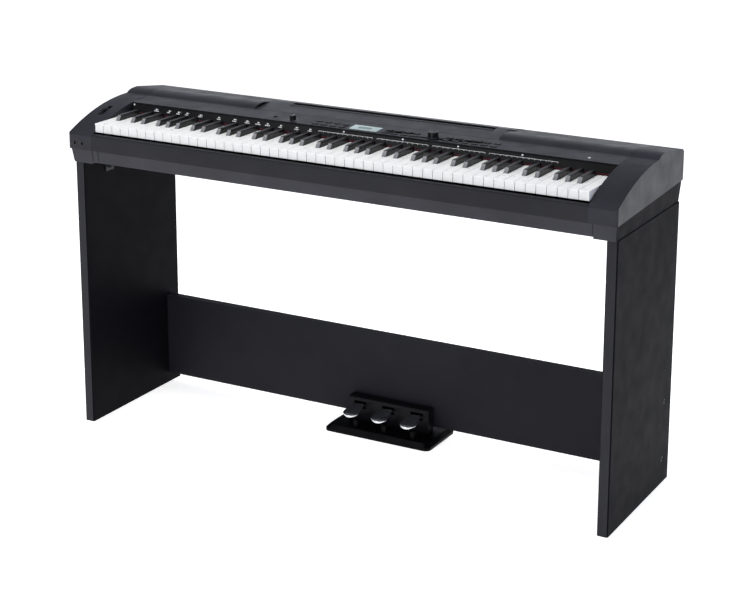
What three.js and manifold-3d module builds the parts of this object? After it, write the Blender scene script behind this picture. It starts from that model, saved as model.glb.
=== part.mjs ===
// A digital piano on a panel stand with a three-pedal unit.
// Units are millimetres and +Z is up. X runs along the keyboard from bass to
// treble, and the player sits on the -Y side. The origin lies on the floor
// below the middle of the whole object.

import * as THREE from 'three';
import { mergeVertices } from 'three/addons/utils/BufferGeometryUtils.js';
import Module from 'manifold-3d';

const wasm = await Module();
wasm.setup();

// ---------------------------------------------------------------- dimensions

const GAP = 0.3; // clearance between pieces that rest on each other
const SKIN = 3; // wall thickness of the moulded casings

// keys
const WHITE_PITCH = 23.5;
const WHITE_COUNT = 52;
const KEYBOARD_HALF = (WHITE_PITCH * WHITE_COUNT) / 2;
const KEY_SIDE_GAP = 0.9;
const KEY_TOP = 737;
const WHITE_HEIGHT = 20.5;
const WHITE_BOTTOM = KEY_TOP - WHITE_HEIGHT;
const WHITE_FRONT = -176;
const WHITE_BODY_REAR = 8; // behind this line a white key is only a thin tail
const KEY_REAR = 49;
const WHITE_TAIL_TOP = 725;
const TAIL_OVERLAP = 2; // the tail bar is rooted this far inside the key body
const BLACK_FRONT = -126;
const BLACK_WIDTH = 10;
const BLACK_SLOT_HALF = 6;
const BLACK_SLOT_FRONT = BLACK_FRONT - 1.5;
const BLACK_HEIGHT = 12;
const BLACK_NOSE = 8.5; // length of the sloping nose
const BLACK_CAP_REAR = -47.5;
const BLACK_BODY_BOTTOM = 722;
const BLACK_BODY_REAR = 4;
const BLACK_TAIL_BOTTOM = 727.3;
const BLACK_TAIL_TOP = KEY_TOP - GAP;
const BLACK_BAR_FRONT = 32;
const BLACK_SHIFT = { C: -2.4, D: 2.4, F: -3.3, G: 0, A: 3.3 };
const SINGLE_OCTAVE = 4; // this octave is built key by key
const OCTAVES = 7;

// parts around the keys
const KEY_BED = { front: -168, rear: 55, leg: 6, plateTop: 704, rail: 25, railDrop: 2 };
const FELT = { y0: -46, y1: -40.5, above: 1, thick: 2.7, endGap: 0.5 };
const NAME_BOARD = { footY: -39, footAbove: 4, thick: 2.6, topBack: 0.6, topGap: 0.5 };
const KEY_SLIP = { topGap: 3.5, rearGap: 2.5, footGap: 0.5, slope: 4.5, lip: 1.2, lipDrop: 1.5, faceDrop: 5 };

// casing
const CASE_HALF_WIDTH = 678;
const CASE_HALF_DEPTH = 188.5;
const BLOCK_INNER_X = 613.3;
const TOP_CASE_HALF = BLOCK_INNER_X - GAP;
const SEAM_FRONT = 674.3; // height of the seam between the upper and lower casing
const SEAM_REAR = 688;
const PANEL_FRONT = { y: -29, z: 760.4 }; // front edge of the control panel
const HUMP_FOOT = { y: 36, z: 764.6 };
const HUMP_TOP = { y: 76, z: 773.2 };
const HUMP_FACE = [
  [HUMP_FOOT.y, HUMP_FOOT.z], [41, 768.2], [51, 771.3], [62, 772.7], [HUMP_TOP.y, HUMP_TOP.z],
];
const MIDDLE_FACE = [[HUMP_FOOT.y, HUMP_FOOT.z], [92, 768.3], [122, 769.2]]; // between the humps
const REAR_TOP = { y: 181, z: 757.5 };
const REAR_SHOULDER_Z = 751;
const MIDDLE_LEFT = -316; // the middle section between the two speaker humps
const MIDDLE_RIGHT = 309;
const REST_SLOT = { x0: -256, x1: 267, y0: 99.5, y1: 121.5, z0: 755, z1: 785 };
const REST_LIP = [
  [91, 766], [92, 768.4], [93, 769.5], [94.5, 769.9], [98.5, 769.9], [99.5, 769.6], [99.5, 766],
];

// end blocks
const BLOCK_FRONT_Z = 706;
const BLOCK_CURVE = [[-182, 713], [-79, 763], [34, 764.5]];
const BLOCK_CORNER = 5; // radius of the outer front edge
const BLOCK_HOLLOW_FOOT = 644; // the hollow runs out below the block
const HEADPHONE_X = [-660, -640];
const HEADPHONE_Z = 689;
const HEADPHONE_RADIUS = 3.6;
const HEADPHONE_DEPTH = 14;
const HEADPHONE_WALL = 3;
const WHEEL = { x: -648, y: -88, z: 731, radius: 22, width: 8, slot: 1.5, edge: 1.5, stub: 5, notch: 5 };

// lower casing
const BASE_Z = 640.3;
const BASE_MIDDLE_Z = 644.5;
const BASE_PAD_X = 622;
const FLOOR_TOP = BASE_MIDDLE_Z + SKIN;
const BASE_TOP_Z = 700;
const BASE_HALF_X = 671.5;
const BASE_FRONT = -176;
const BASE_REAR = 183;
const BASE_FLARE = { side: 0.09, front: 0.19, rear: 0.06 }; // outward lean per millimetre of height
const FRONT_GROOVES = [{ x: -617, width: 3 }, { x: -601, width: 2 }, { x: 622, width: 1.2 }];
const GROOVE = { z0: 649, z1: 673, depth: 1.4 };
const BEYOND = 220; // a cutting body that reaches past the casing ends here
const REAR_SOCKETS = [-330, -290, -250, -210];
const REAR_SOCKET_Z = 665;
const REAR_SOCKET_RADIUS = 4;
const REAR_SOCKET_START = 160;
const USB_SOCKET = { x0: -176, x1: -164, z0: 659.5, z1: 670.5 };
const MAIN_BOARD = { x0: -350, x1: 60, y0: 72, y1: 165, z: 655, thick: 1.6, foot: 3, footInset: 10 };

// controls on the control panel, placed by X and by distance behind its front edge
const ROW_NEAR = 13;
const ROW_FAR = 33.5;
const BUTTON = { width: 15, depth: 8, proud: 1.2, pitch: 22.9 };
const BUTTON_SETS = [
  { name: 'style_buttons', centre: -86.5, columns: 4 },
  { name: 'menu_buttons', centre: 92.5, columns: 4 },
  { name: 'voice_buttons', centre: 265, columns: 6 },
];
const BUTTON_WEB = { below: 3.4, thick: 1.2, side: 9, end: 4 };
const CONTROL_CLEARANCE = 0.5;
const DISPLAY = { x0: -31.5, x1: 38.5, y0: 7.5, y1: 39.5, proud: 1, below: 7 };
const DISPLAY_WINDOW = { x0: -15, x1: 18, y0: 16, y1: 31, depth: 0.8 };
const VOLUME = { x: -183.5, y: 20, radius: 7.5, height: 11 };
const DIAL = { x: 175, y: 17, radius: 12.5, height: 15 };
const POWER = { x: -235, y: 28, radius: 5, height: 1.6, below: 8, edge: 0.4 };
const KNOB_LIFT = 0.4;
const KNOB_TAPER = 0.95;
const SHAFT_RADIUS = 3;
const SHAFT_DEPTH = 9;

// speakers
const SPEAKER_X = [-464, 434];
const GRILLE = { length: 276, y0: 99, y1: 165, thick: 1.5, pocket: 1.8, ledge: 6 };
const SPEAKER_DROP = 4.5; // from the top of the hump down to the speaker's rim
const SPEAKER_RADIUS = 32;
const SPEAKER_PROFILE = [[0, -30], [16, -30], [16, -18], [SPEAKER_RADIUS - 8, -3], [SPEAKER_RADIUS, -3],
  [SPEAKER_RADIUS, 0], [SPEAKER_RADIUS - 5, 0], [9, -12], [0, -9]]; // (radius, height) of magnet, cone, rim

// stand
const STAND_HALF_WIDTH = 674;
const STAND_THICK = 25;
const STAND_FRONT = -171;
const STAND_REAR = 184;
const STAND_HEIGHT = 640;
const STAND_EDGE = 2.5;
const CROSS_FRONT = 135;
const CROSS_THICK = 20;
const CROSS_BOTTOM = 26;
const CROSS_TOP = 232;
const SCREW_Z = [57, 193];
const SCREW = { head: 6.5, headThick: 3, shank: 3.2, length: 50, bore: 32, edge: 0.8, sunk: 0.5 };
const BRACKET = { y0: -95, y1: -65, thick: 2.5, drop: 38, reach: 62 };

// pedal unit
const PEDAL_BASE = { half: 140, front: 47, rear: 186, height: 16, bevel: 9, corner: 14 };
const PEDAL_BOX = { half: 107, front: 109, top: 74, bottom: 16.3, wall: 3, round: 7 };
const PEDAL_SLOT = { side: 2, below: 4, above: 14 }; // room around a pedal where it leaves the box
const PEDAL_X = { pedal_left: -76, pedal_middle: 0, pedal_right: 76 };
const PEDAL_PIVOT = { y: 123, z: 50 };
const PEDAL_TIP = 50;
const PEDAL_SIDE = [[PEDAL_PIVOT.y + 3, 63.5], [PEDAL_TIP + 9, 53], [PEDAL_TIP + 2, 51], [PEDAL_TIP, 48.5],
  [PEDAL_TIP, 44.5], [PEDAL_TIP + 5, 43], [PEDAL_PIVOT.y + 3, 54]];
const PEDAL_HALF_WIDE = 21;
const PEDAL_HALF_NARROW = 14.5;
const PEDAL_NOSE = 0.8; // depth of the rounded tip over its half width
const PEDAL_SHOULDER = 22; // length of the curve from the wide tip to the narrow stem
const PEDAL_HUB_HALF = 13;
const PEDAL_AXLE_RADIUS = 3;
const PEDAL_BORE_RADIUS = 3.5;
const PEDAL_HUB_RADIUS = 7;
const PEDAL_POST = { side: 11, y: 66, width: 12, depth: 9, top: 33.5 };

// ----------------------------------------------------------------- materials

function plain(color, roughness, metalness = 0) {
  return new THREE.MeshStandardMaterial({ color, roughness, metalness });
}

const CASE_BLACK = plain(0x2b2b2f, 0.45);
const PANEL_BLACK = plain(0x1c1c20, 0.3);
const STAND_BLACK = plain(0x26262a, 0.55);
const KEY_WHITE = plain(0xf4f4f0, 0.3);
const KEY_BLACK = plain(0x141416, 0.35);
const FELT_RED = plain(0x7a1224, 0.95);
const BUTTON_BLACK = plain(0x0e0e10, 0.4);
const DISPLAY_TEAL = plain(0xa9bcbc, 0.35);
const KNOB_BLACK = plain(0x0b0b0d, 0.15);
const STEEL = plain(0x9a9da2, 0.35, 0.9);
const CHROME = plain(0xd8dadd, 0.12, 1);
const BOARD_GREEN = plain(0x1f5b34, 0.6);
const SPEAKER_BLACK = plain(0x202022, 0.7);

// ------------------------------------------------------------ solid handling

function toSolid(geometry) {
  const bare = geometry.clone();
  bare.deleteAttribute('normal');
  bare.deleteAttribute('uv');
  const merged = mergeVertices(bare, 1e-4);
  const vertProperties = new Float32Array(merged.attributes.position.array);
  const triVerts = new Uint32Array(merged.index.array);
  return new wasm.Manifold(new wasm.Mesh({ numProp: 3, vertProperties, triVerts }));
}

function toGeometry(solid) {
  const mesh = solid.getMesh();
  const geometry = new THREE.BufferGeometry();
  geometry.setAttribute('position', new THREE.BufferAttribute(mesh.vertProperties, 3));
  geometry.setIndex(new THREE.BufferAttribute(mesh.triVerts, 1));
  geometry.computeVertexNormals();
  return geometry;
}

function join(first, ...others) {
  return toGeometry(others.reduce((solid, other) => solid.add(toSolid(other)), toSolid(first)));
}

function cut(first, ...others) {
  return toGeometry(others.reduce((solid, other) => solid.subtract(toSolid(other)), toSolid(first)));
}

function common(first, second) {
  return toGeometry(toSolid(first).intersect(toSolid(second)));
}

const root = new THREE.Group();

function add(name, geometry, material, parent = root) {
  const mesh = new THREE.Mesh(geometry, material);
  mesh.name = name;
  parent.add(mesh);
  return mesh;
}

// ------------------------------------------------------------ shape building

function box(x0, x1, y0, y1, z0, z1) {
  const geometry = new THREE.BoxGeometry(x1 - x0, y1 - y0, z1 - z0);
  return geometry.translate((x0 + x1) / 2, (y0 + y1) / 2, (z0 + z1) / 2);
}

function outline(points) {
  return new THREE.Shape(points.map(([a, b]) => new THREE.Vector2(a, b)));
}

// A (y, z) outline pushed along X.
function extrudeX(shape, x0, x1, curveSegments = 10) {
  const settings = { depth: x1 - x0, bevelEnabled: false, curveSegments };
  const geometry = new THREE.ExtrudeGeometry(shape, settings);
  const turn = new THREE.Matrix4().set(0, 0, 1, x0, 1, 0, 0, 0, 0, 1, 0, 0, 0, 0, 0, 1);
  return geometry.applyMatrix4(turn);
}

// An (x, y) outline pushed along Z.
function extrudeZ(shape, z0, z1, curveSegments = 10) {
  const settings = { depth: z1 - z0, bevelEnabled: false, curveSegments };
  return new THREE.ExtrudeGeometry(shape, settings).translate(0, 0, z0);
}

function rodX(radius, x0, x1, y, z, sides = 20) {
  const geometry = new THREE.CylinderGeometry(radius, radius, x1 - x0, sides);
  return geometry.rotateZ(Math.PI / 2).translate((x0 + x1) / 2, y, z);
}

function rodY(radius, x, y0, y1, z, sides = 20) {
  return new THREE.CylinderGeometry(radius, radius, y1 - y0, sides).translate(x, (y0 + y1) / 2, z);
}

// A turned piece on the Z axis, from (radius, z) pairs.
function turned(profile, sides = 24) {
  const points = profile.map(([radius, z]) => new THREE.Vector2(radius, z));
  return new THREE.LatheGeometry(points, sides).rotateX(Math.PI / 2);
}

// A closed body through loops of equal point counts, listed from the bottom up.
function loft(loops) {
  const count = loops[0].length;
  const positions = loops.flat(2);
  const faces = THREE.ShapeUtils.triangulateShape(loops[0].map(([x, y]) => new THREE.Vector2(x, y)), []);
  const last = (loops.length - 1) * count;
  const index = [];
  for (const [a, b, c] of faces) {
    index.push(a, c, b, last + a, last + b, last + c);
  }
  for (let level = 0; level < last; level += count) {
    for (let i = 0; i < count; i += 1) {
      const next = (i + 1) % count;
      index.push(level + i, level + next, level + count + next);
      index.push(level + i, level + count + next, level + count + i);
    }
  }
  const geometry = new THREE.BufferGeometry();
  geometry.setAttribute('position', new THREE.Float32BufferAttribute(positions, 3));
  geometry.setIndex(index);
  geometry.computeVertexNormals();
  return geometry;
}

function roundedLoop(half, y0, y1, radius, z, steps = 4) {
  const centres = [[half - radius, y1 - radius], [radius - half, y1 - radius],
    [radius - half, y0 + radius], [half - radius, y0 + radius]];
  return centres.flatMap(([x, y], quarter) => Array.from({ length: steps + 1 }, (_, step) => {
    const angle = (quarter + step / steps) * (Math.PI / 2);
    return [x + radius * Math.cos(angle), y + radius * Math.sin(angle), z];
  }));
}

// ---------------------------------------------------------------------- keys

const whiteLeft = (index) => WHITE_PITCH * index - KEYBOARD_HALF;
const letterOf = (index) => 'ABCDEFG'[index % 7];
const firstOfOctave = (octave) => 2 + 7 * (octave - 1);

// The centre of the black key between a white key and its right neighbour, or null.
function blackCentre(index) {
  const shift = BLACK_SHIFT[letterOf(index)];
  const inside = index >= 0 && index < WHITE_COUNT - 1;
  return shift === undefined || !inside ? null : whiteLeft(index + 1) + shift;
}

function whiteBody(index) {
  const left = whiteLeft(index) + KEY_SIDE_GAP / 2;
  const right = whiteLeft(index + 1) - KEY_SIDE_GAP / 2;
  const blackLeft = blackCentre(index - 1);
  const blackRight = blackCentre(index);
  const points = [[left, WHITE_FRONT], [right, WHITE_FRONT]];
  if (blackRight === null) {
    points.push([right, WHITE_BODY_REAR]);
  } else {
    const neck = blackRight - BLACK_SLOT_HALF;
    points.push([right, BLACK_SLOT_FRONT], [neck, BLACK_SLOT_FRONT], [neck, WHITE_BODY_REAR]);
  }
  if (blackLeft === null) {
    points.push([left, WHITE_BODY_REAR]);
  } else {
    const neck = blackLeft + BLACK_SLOT_HALF;
    points.push([neck, WHITE_BODY_REAR], [neck, BLACK_SLOT_FRONT], [left, BLACK_SLOT_FRONT]);
  }
  return extrudeZ(outline(points), WHITE_BOTTOM, KEY_TOP);
}

// White keys of one group on their common tail bar.
function whiteKeys(first, last) {
  const bodies = [];
  for (let index = first; index <= last; index += 1) bodies.push(whiteBody(index));
  const single = first === last;
  const leftSlot = single ? blackCentre(first - 1) : null;
  const rightSlot = single ? blackCentre(first) : null;
  const x0 = leftSlot === null ? whiteLeft(first) + KEY_SIDE_GAP / 2 : leftSlot + BLACK_SLOT_HALF;
  const x1 = rightSlot === null ? whiteLeft(last + 1) - KEY_SIDE_GAP / 2 : rightSlot - BLACK_SLOT_HALF;
  const bar = box(x0, x1, WHITE_BODY_REAR - TAIL_OVERLAP, KEY_REAR, WHITE_BOTTOM, WHITE_TAIL_TOP);
  return join(bar, ...bodies);
}

function blackKey(centre) {
  const capTop = KEY_TOP + BLACK_HEIGHT;
  const side = outline([
    [BLACK_FRONT, BLACK_BODY_BOTTOM], [BLACK_BODY_REAR, BLACK_BODY_BOTTOM],
    [BLACK_BODY_REAR, BLACK_TAIL_BOTTOM], [KEY_REAR, BLACK_TAIL_BOTTOM],
    [KEY_REAR, BLACK_TAIL_TOP], [BLACK_CAP_REAR, BLACK_TAIL_TOP],
    [BLACK_CAP_REAR, capTop], [BLACK_FRONT + BLACK_NOSE, capTop - 1], [BLACK_FRONT, KEY_TOP + 1],
  ]);
  return extrudeX(side, centre - BLACK_WIDTH / 2, centre + BLACK_WIDTH / 2);
}

// Black keys of one group on their common tail bar.
function blackKeys(centres) {
  const x0 = centres[0] - BLACK_WIDTH / 2;
  const x1 = centres[centres.length - 1] + BLACK_WIDTH / 2;
  const bar = box(x0, x1, BLACK_BAR_FRONT, KEY_REAR, BLACK_TAIL_BOTTOM, BLACK_TAIL_TOP);
  return join(bar, ...centres.map(blackKey));
}

function addSingleKeys() {
  const first = firstOfOctave(SINGLE_OCTAVE);
  for (let index = first; index < first + 7; index += 1) {
    const letter = letterOf(index).toLowerCase();
    add(`white_key_${letter}${SINGLE_OCTAVE}`, whiteKeys(index, index), KEY_WHITE);
    const centre = blackCentre(index);
    if (centre !== null) add(`black_key_${letter}_sharp${SINGLE_OCTAVE}`, blackKey(centre), KEY_BLACK);
  }
}

// The lowest group also takes the two keys below C1, and the highest takes C8.
function addOctaveGroup(octave) {
  const first = octave === 1 ? 0 : firstOfOctave(octave);
  const last = octave === OCTAVES ? WHITE_COUNT - 1 : firstOfOctave(octave) + 6;
  add(`white_keys_octave_${octave}`, whiteKeys(first, last), KEY_WHITE);
  const centres = [];
  for (let index = first; index <= last; index += 1) {
    if (blackCentre(index) !== null) centres.push(blackCentre(index));
  }
  add(`black_keys_octave_${octave}`, blackKeys(centres), KEY_BLACK);
}

function addKeys() {
  addSingleKeys();
  for (let octave = 1; octave <= OCTAVES; octave += 1) {
    if (octave !== SINGLE_OCTAVE) addOctaveGroup(octave);
  }
}

// Channel that carries the keys, with the pivot rail along its rear.
function addKeyBed() {
  const { front, rear, leg, plateTop, rail, railDrop } = KEY_BED;
  const foot = FLOOR_TOP + GAP;
  const railTop = WHITE_BOTTOM - railDrop;
  const side = outline([
    [front, foot], [front + leg, foot], [front + leg, plateTop - leg], [rear - leg, plateTop - leg],
    [rear - leg, foot], [rear, foot], [rear, railTop], [rear - rail, railTop], [rear - rail, plateTop],
    [front, plateTop],
  ]);
  add('key_bed', extrudeX(side, -KEYBOARD_HALF, KEYBOARD_HALF), STEEL);
}

function addFeltStrip() {
  const half = KEYBOARD_HALF - FELT.endGap;
  const foot = KEY_TOP + FELT.above;
  add('felt_strip', box(-half, half, FELT.y0, FELT.y1, foot, foot + FELT.thick), FELT_RED);
}

// ------------------------------------------------------------- upper casing

const panelTilt = Math.atan2(HUMP_FOOT.z - PANEL_FRONT.z, HUMP_FOOT.y - PANEL_FRONT.y);
const panelGroup = new THREE.Group();
panelGroup.position.set(0, PANEL_FRONT.y, PANEL_FRONT.z);
panelGroup.rotation.x = panelTilt;
panelGroup.updateMatrix();

// Height of the seam between upper and lower casing at a given depth.
function seamZ(y) {
  return SEAM_FRONT + ((y + CASE_HALF_DEPTH) / (2 * CASE_HALF_DEPTH)) * (SEAM_REAR - SEAM_FRONT);
}

// Cross-section of the top cover. The face from the panel to the crest differs
// between the humps and the middle.
function coverSection(face) {
  const rear = CASE_HALF_DEPTH;
  const foot = seamZ(rear) + GAP;
  const underside = face.map(([y, z]) => [y, z - SKIN]);
  return outline([
    [PANEL_FRONT.y, PANEL_FRONT.z], [PANEL_FRONT.y + 1, PANEL_FRONT.z - SKIN],
    ...underside, [REAR_TOP.y - 1, REAR_TOP.z - SKIN],
    [rear - SKIN, REAR_SHOULDER_Z - 1], [rear - SKIN, foot], [rear, foot], [rear, REAR_SHOULDER_Z],
    [REAR_TOP.y, REAR_TOP.z], ...[...face].reverse(),
  ]);
}

const humpSlope = Math.atan2(REAR_TOP.z - HUMP_TOP.z, REAR_TOP.y - HUMP_TOP.y);

// A point on the top face of the hump, lowered by a depth.
function humpPoint(y, depth) {
  return [y, HUMP_TOP.z + (y - HUMP_TOP.y) * Math.tan(humpSlope) - depth];
}

function humpStrip(x, inset, top, bottom) {
  const y0 = GRILLE.y0 + inset;
  const y1 = GRILLE.y1 - inset;
  const half = GRILLE.length / 2 - inset;
  const corners = [humpPoint(y0, bottom), humpPoint(y1, bottom), humpPoint(y1, top), humpPoint(y0, top)];
  return extrudeX(outline(corners), x - half, x + half);
}

function buttonPlaces(set) {
  const places = [];
  for (let column = 0; column < set.columns; column += 1) {
    const x = set.centre + (column - (set.columns - 1) / 2) * BUTTON.pitch;
    places.push([x, ROW_NEAR], [x, ROW_FAR]);
  }
  return places;
}

function panelHoles() {
  const through = 2 * SKIN;
  const grow = CONTROL_CLEARANCE;
  const { x0, x1, y0, y1 } = DISPLAY;
  const holes = [box(x0 - grow, x1 + grow, y0 - grow, y1 + grow, -through, through)];
  for (const [x, y] of BUTTON_SETS.flatMap(buttonPlaces)) {
    const dx = BUTTON.width / 2 + grow;
    const dy = BUTTON.depth / 2 + grow;
    holes.push(box(x - dx, x + dx, y - dy, y + dy, -through, through));
  }
  for (const control of [VOLUME, DIAL, POWER]) {
    const radius = (control === POWER ? POWER.radius : SHAFT_RADIUS) + grow;
    holes.push(turned([[0, -through], [radius, -through], [radius, through], [0, through]], 16)
      .translate(control.x, control.y, 0));
  }
  return holes.map((hole) => hole.applyMatrix4(panelGroup.matrix));
}

function addTopCover() {
  const hump = coverSection(HUMP_FACE);
  const left = extrudeX(hump, -TOP_CASE_HALF, MIDDLE_LEFT);
  const right = extrudeX(hump, MIDDLE_RIGHT, TOP_CASE_HALF);
  const middle = extrudeX(coverSection(MIDDLE_FACE), MIDDLE_LEFT, MIDDLE_RIGHT);
  const { x0, x1, y0, y1, z0, z1 } = REST_SLOT;
  const lip = extrudeX(outline(REST_LIP), x0, x1);
  const slot = box(x0, x1, y0, y1, z0, z1);
  const grilles = SPEAKER_X.flatMap((x) => [
    humpStrip(x, 0, -2, GRILLE.pocket), humpStrip(x, GRILLE.ledge, -2, 2 * SKIN),
  ]);
  add('top_cover', cut(join(middle, left, right, lip), slot, ...grilles, ...panelHoles()), CASE_BLACK);
}

// Inclined board between the keys and the control panel.
function addNameBoard() {
  const { footY, footAbove, thick, topBack, topGap } = NAME_BOARD;
  const footZ = KEY_TOP + footAbove;
  const topY = PANEL_FRONT.y - topBack;
  const topZ = PANEL_FRONT.z - SKIN - topGap;
  const side = outline([[footY, footZ], [footY + thick, footZ], [topY + thick, topZ], [topY, topZ]]);
  add('name_board', extrudeX(side, -TOP_CASE_HALF, TOP_CASE_HALF), PANEL_BLACK);
}

function addKeySlip() {
  const { topGap, rearGap, footGap, slope, lip, lipDrop, faceDrop } = KEY_SLIP;
  const front = -CASE_HALF_DEPTH;
  const top = WHITE_BOTTOM - topGap;
  const rear = WHITE_FRONT - rearGap;
  const foot = SEAM_FRONT + footGap;
  const side = outline([
    [front, foot], [front + SKIN, foot], [front + SKIN, top - SKIN], [rear, top - SKIN], [rear, top],
    [front + slope, top], [front + lip, top - lipDrop], [front, top - faceDrop],
  ]);
  add('key_slip', extrudeX(side, -TOP_CASE_HALF, TOP_CASE_HALF), CASE_BLACK);
}

// Side view of an end block, drawn in by the wall thickness where inset is above 0.
function blockSection(inset) {
  const edge = CASE_HALF_DEPTH - inset;
  const [start, bend, end] = BLOCK_CURVE.map(([y, z]) => [y, z - inset]);
  const shape = new THREE.Shape();
  shape.moveTo(-edge, inset > 0 ? BLOCK_HOLLOW_FOOT : seamZ(-edge) + GAP);
  shape.lineTo(edge, inset > 0 ? BLOCK_HOLLOW_FOOT : seamZ(edge) + GAP);
  shape.lineTo(edge, REAR_SHOULDER_Z - inset / 2);
  shape.lineTo(REAR_TOP.y, REAR_TOP.z - inset);
  for (const [y, z] of [...HUMP_FACE].reverse()) shape.lineTo(y, z - inset);
  shape.lineTo(end[0], end[1]);
  shape.quadraticCurveTo(bend[0], bend[1], start[0], start[1]);
  shape.quadraticCurveTo(-edge, BLOCK_FRONT_Z + 5 - inset, -edge, BLOCK_FRONT_Z - inset);
  return shape;
}

// Top view of the right end block, with its outer front edge rounded.
function blockPlan() {
  const shape = new THREE.Shape();
  const arcX = CASE_HALF_WIDTH - BLOCK_CORNER;
  const arcY = BLOCK_CORNER - CASE_HALF_DEPTH;
  shape.moveTo(BLOCK_INNER_X, -CASE_HALF_DEPTH);
  shape.lineTo(arcX, -CASE_HALF_DEPTH);
  shape.absarc(arcX, arcY, BLOCK_CORNER, -Math.PI / 2, 0, false);
  shape.lineTo(CASE_HALF_WIDTH, CASE_HALF_DEPTH);
  shape.lineTo(BLOCK_INNER_X, CASE_HALF_DEPTH);
  return shape;
}

function rightBlock() {
  const full = extrudeX(blockSection(0), BLOCK_INNER_X, CASE_HALF_WIDTH);
  const hollow = extrudeX(blockSection(SKIN), BLOCK_INNER_X + SKIN, CASE_HALF_WIDTH - SKIN);
  const plan = extrudeZ(blockPlan(), BASE_Z, BEYOND * 4, 6);
  return cut(common(full, plan), hollow);
}

// A copy mirrored to the other side, with its faces turned outwards again.
function mirrored(geometry) {
  const copy = geometry.clone().scale(-1, 1, 1);
  const index = copy.index.array;
  for (let i = 0; i < index.length; i += 3) [index[i], index[i + 1]] = [index[i + 1], index[i]];
  copy.computeVertexNormals();
  return copy;
}

// The left block also has the headphone sockets and the slot of the pitch wheel.
function addEndBlocks() {
  const block = rightBlock();
  const front = -CASE_HALF_DEPTH;
  const depth = HEADPHONE_DEPTH;
  const outerRadius = HEADPHONE_RADIUS + HEADPHONE_WALL;
  const sockets = HEADPHONE_X.map((x) => rodY(HEADPHONE_RADIUS, x, front - 1, front + depth, HEADPHONE_Z));
  const bosses = HEADPHONE_X.map((x) => (
    rodY(outerRadius, x, front + 1, front + depth + HEADPHONE_WALL, HEADPHONE_Z)));
  const halfSlot = WHEEL.width / 2 + WHEEL.slot;
  const reach = WHEEL.radius + WHEEL.slot;
  const wheelSlot = box(WHEEL.x - halfSlot, WHEEL.x + halfSlot, WHEEL.y - reach, WHEEL.y + reach,
    WHEEL.z, WHEEL.z + 2 * WHEEL.radius);
  add('end_block_left', cut(join(mirrored(block), ...bosses), ...sockets, wheelSlot), CASE_BLACK);
  add('end_block_right', block, CASE_BLACK);
}

// Pitch wheel with its stub axle and a thumb notch at the top.
function addPitchWheel() {
  const { x, y, z, radius, edge, notch } = WHEEL;
  const half = WHEEL.width / 2;
  const stub = half + WHEEL.stub;
  const profile = [[0, -stub], [SHAFT_RADIUS, -stub], [SHAFT_RADIUS, -half], [radius - edge, -half],
    [radius, -half + edge], [radius, half - edge], [radius - edge, half], [SHAFT_RADIUS, half],
    [SHAFT_RADIUS, stub], [0, stub]];
  const disc = turned(profile, 32).rotateY(Math.PI / 2);
  const groove = rodX(notch, -half - 1, half + 1, 0, radius + notch / 2, 16);
  add('pitch_wheel', cut(disc, groove), KNOB_BLACK).position.set(x, y, z);
}

// ------------------------------------------------------------- lower casing

const baseFront = (z) => BASE_FRONT - (z - BASE_Z) * BASE_FLARE.front;

function baseLoop(inset, z) {
  const rise = z - BASE_Z;
  const halfX = BASE_HALF_X + rise * BASE_FLARE.side - inset;
  const front = baseFront(z) + inset;
  const rear = BASE_REAR + rise * BASE_FLARE.rear - inset;
  return [[-halfX, front, z], [halfX, front, z], [halfX, rear, z], [-halfX, rear, z]];
}

// Shallow upright groove in the sloping front of the lower casing.
function frontGroove({ x, width }) {
  const { z0, z1, depth } = GROOVE;
  const foot = [baseFront(z0) + depth, z0];
  const top = [baseFront(z1) + depth, z1];
  return extrudeX(outline([[-BEYOND, z0], foot, top, [-BEYOND, z1]]), x - width / 2, x + width / 2);
}

function addBottomCase() {
  const far = BEYOND;
  const wide = far * 4;
  const outer = loft([baseLoop(0, BASE_Z), baseLoop(0, BASE_TOP_Z)]);
  const hollow = loft([baseLoop(SKIN, FLOOR_TOP), baseLoop(SKIN, BASE_TOP_Z + SKIN)]);
  const aboveSeam = outline([[-far, seamZ(-far) - GAP], [far, seamZ(far) - GAP], [far, wide], [-far, wide]]);
  const lid = extrudeX(aboveSeam, -wide, wide);
  const recess = box(-BASE_PAD_X, BASE_PAD_X, -far, far, BASE_Z - SKIN, BASE_MIDDLE_Z);
  const { x0, x1, z0, z1 } = USB_SOCKET;
  const usb = box(x0, x1, REAR_SOCKET_START, far, z0, z1);
  const round = REAR_SOCKETS.map((x) => (
    rodY(REAR_SOCKET_RADIUS, x, REAR_SOCKET_START, far, REAR_SOCKET_Z, 16)));
  const grooves = FRONT_GROOVES.map(frontGroove);
  add('bottom_case', cut(outer, hollow, lid, recess, usb, ...round, ...grooves), CASE_BLACK);
}

// Circuit board on four standoffs.
function addMainBoard() {
  const { x0, x1, y0, y1, z, thick, foot, footInset } = MAIN_BOARD;
  const board = box(x0, x1, y0, y1, z, z + thick);
  const feet = [x0 + footInset, x1 - footInset].flatMap((x) => [y0 + footInset, y1 - footInset].map((y) => (
    box(x - foot, x + foot, y - foot, y + foot, FLOOR_TOP + GAP, z + thick / 2))));
  add('main_board', join(board, ...feet), BOARD_GREEN);
}

// ------------------------------------------------------------------ controls

// Buttons of one set, joined below the cover by a thin web.
function addButtonSet(set) {
  const { thick, side, end } = BUTTON_WEB;
  const webTop = -BUTTON_WEB.below;
  const reach = ((set.columns - 1) / 2) * BUTTON.pitch + side;
  const web = box(set.centre - reach, set.centre + reach, ROW_NEAR - end, ROW_FAR + end,
    webTop - thick, webTop);
  const dx = BUTTON.width / 2;
  const dy = BUTTON.depth / 2;
  const caps = buttonPlaces(set).map(([x, y]) => (
    box(x - dx, x + dx, y - dy, y + dy, webTop - thick / 2, BUTTON.proud)));
  add(set.name, join(web, ...caps), BUTTON_BLACK, panelGroup);
}

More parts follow.
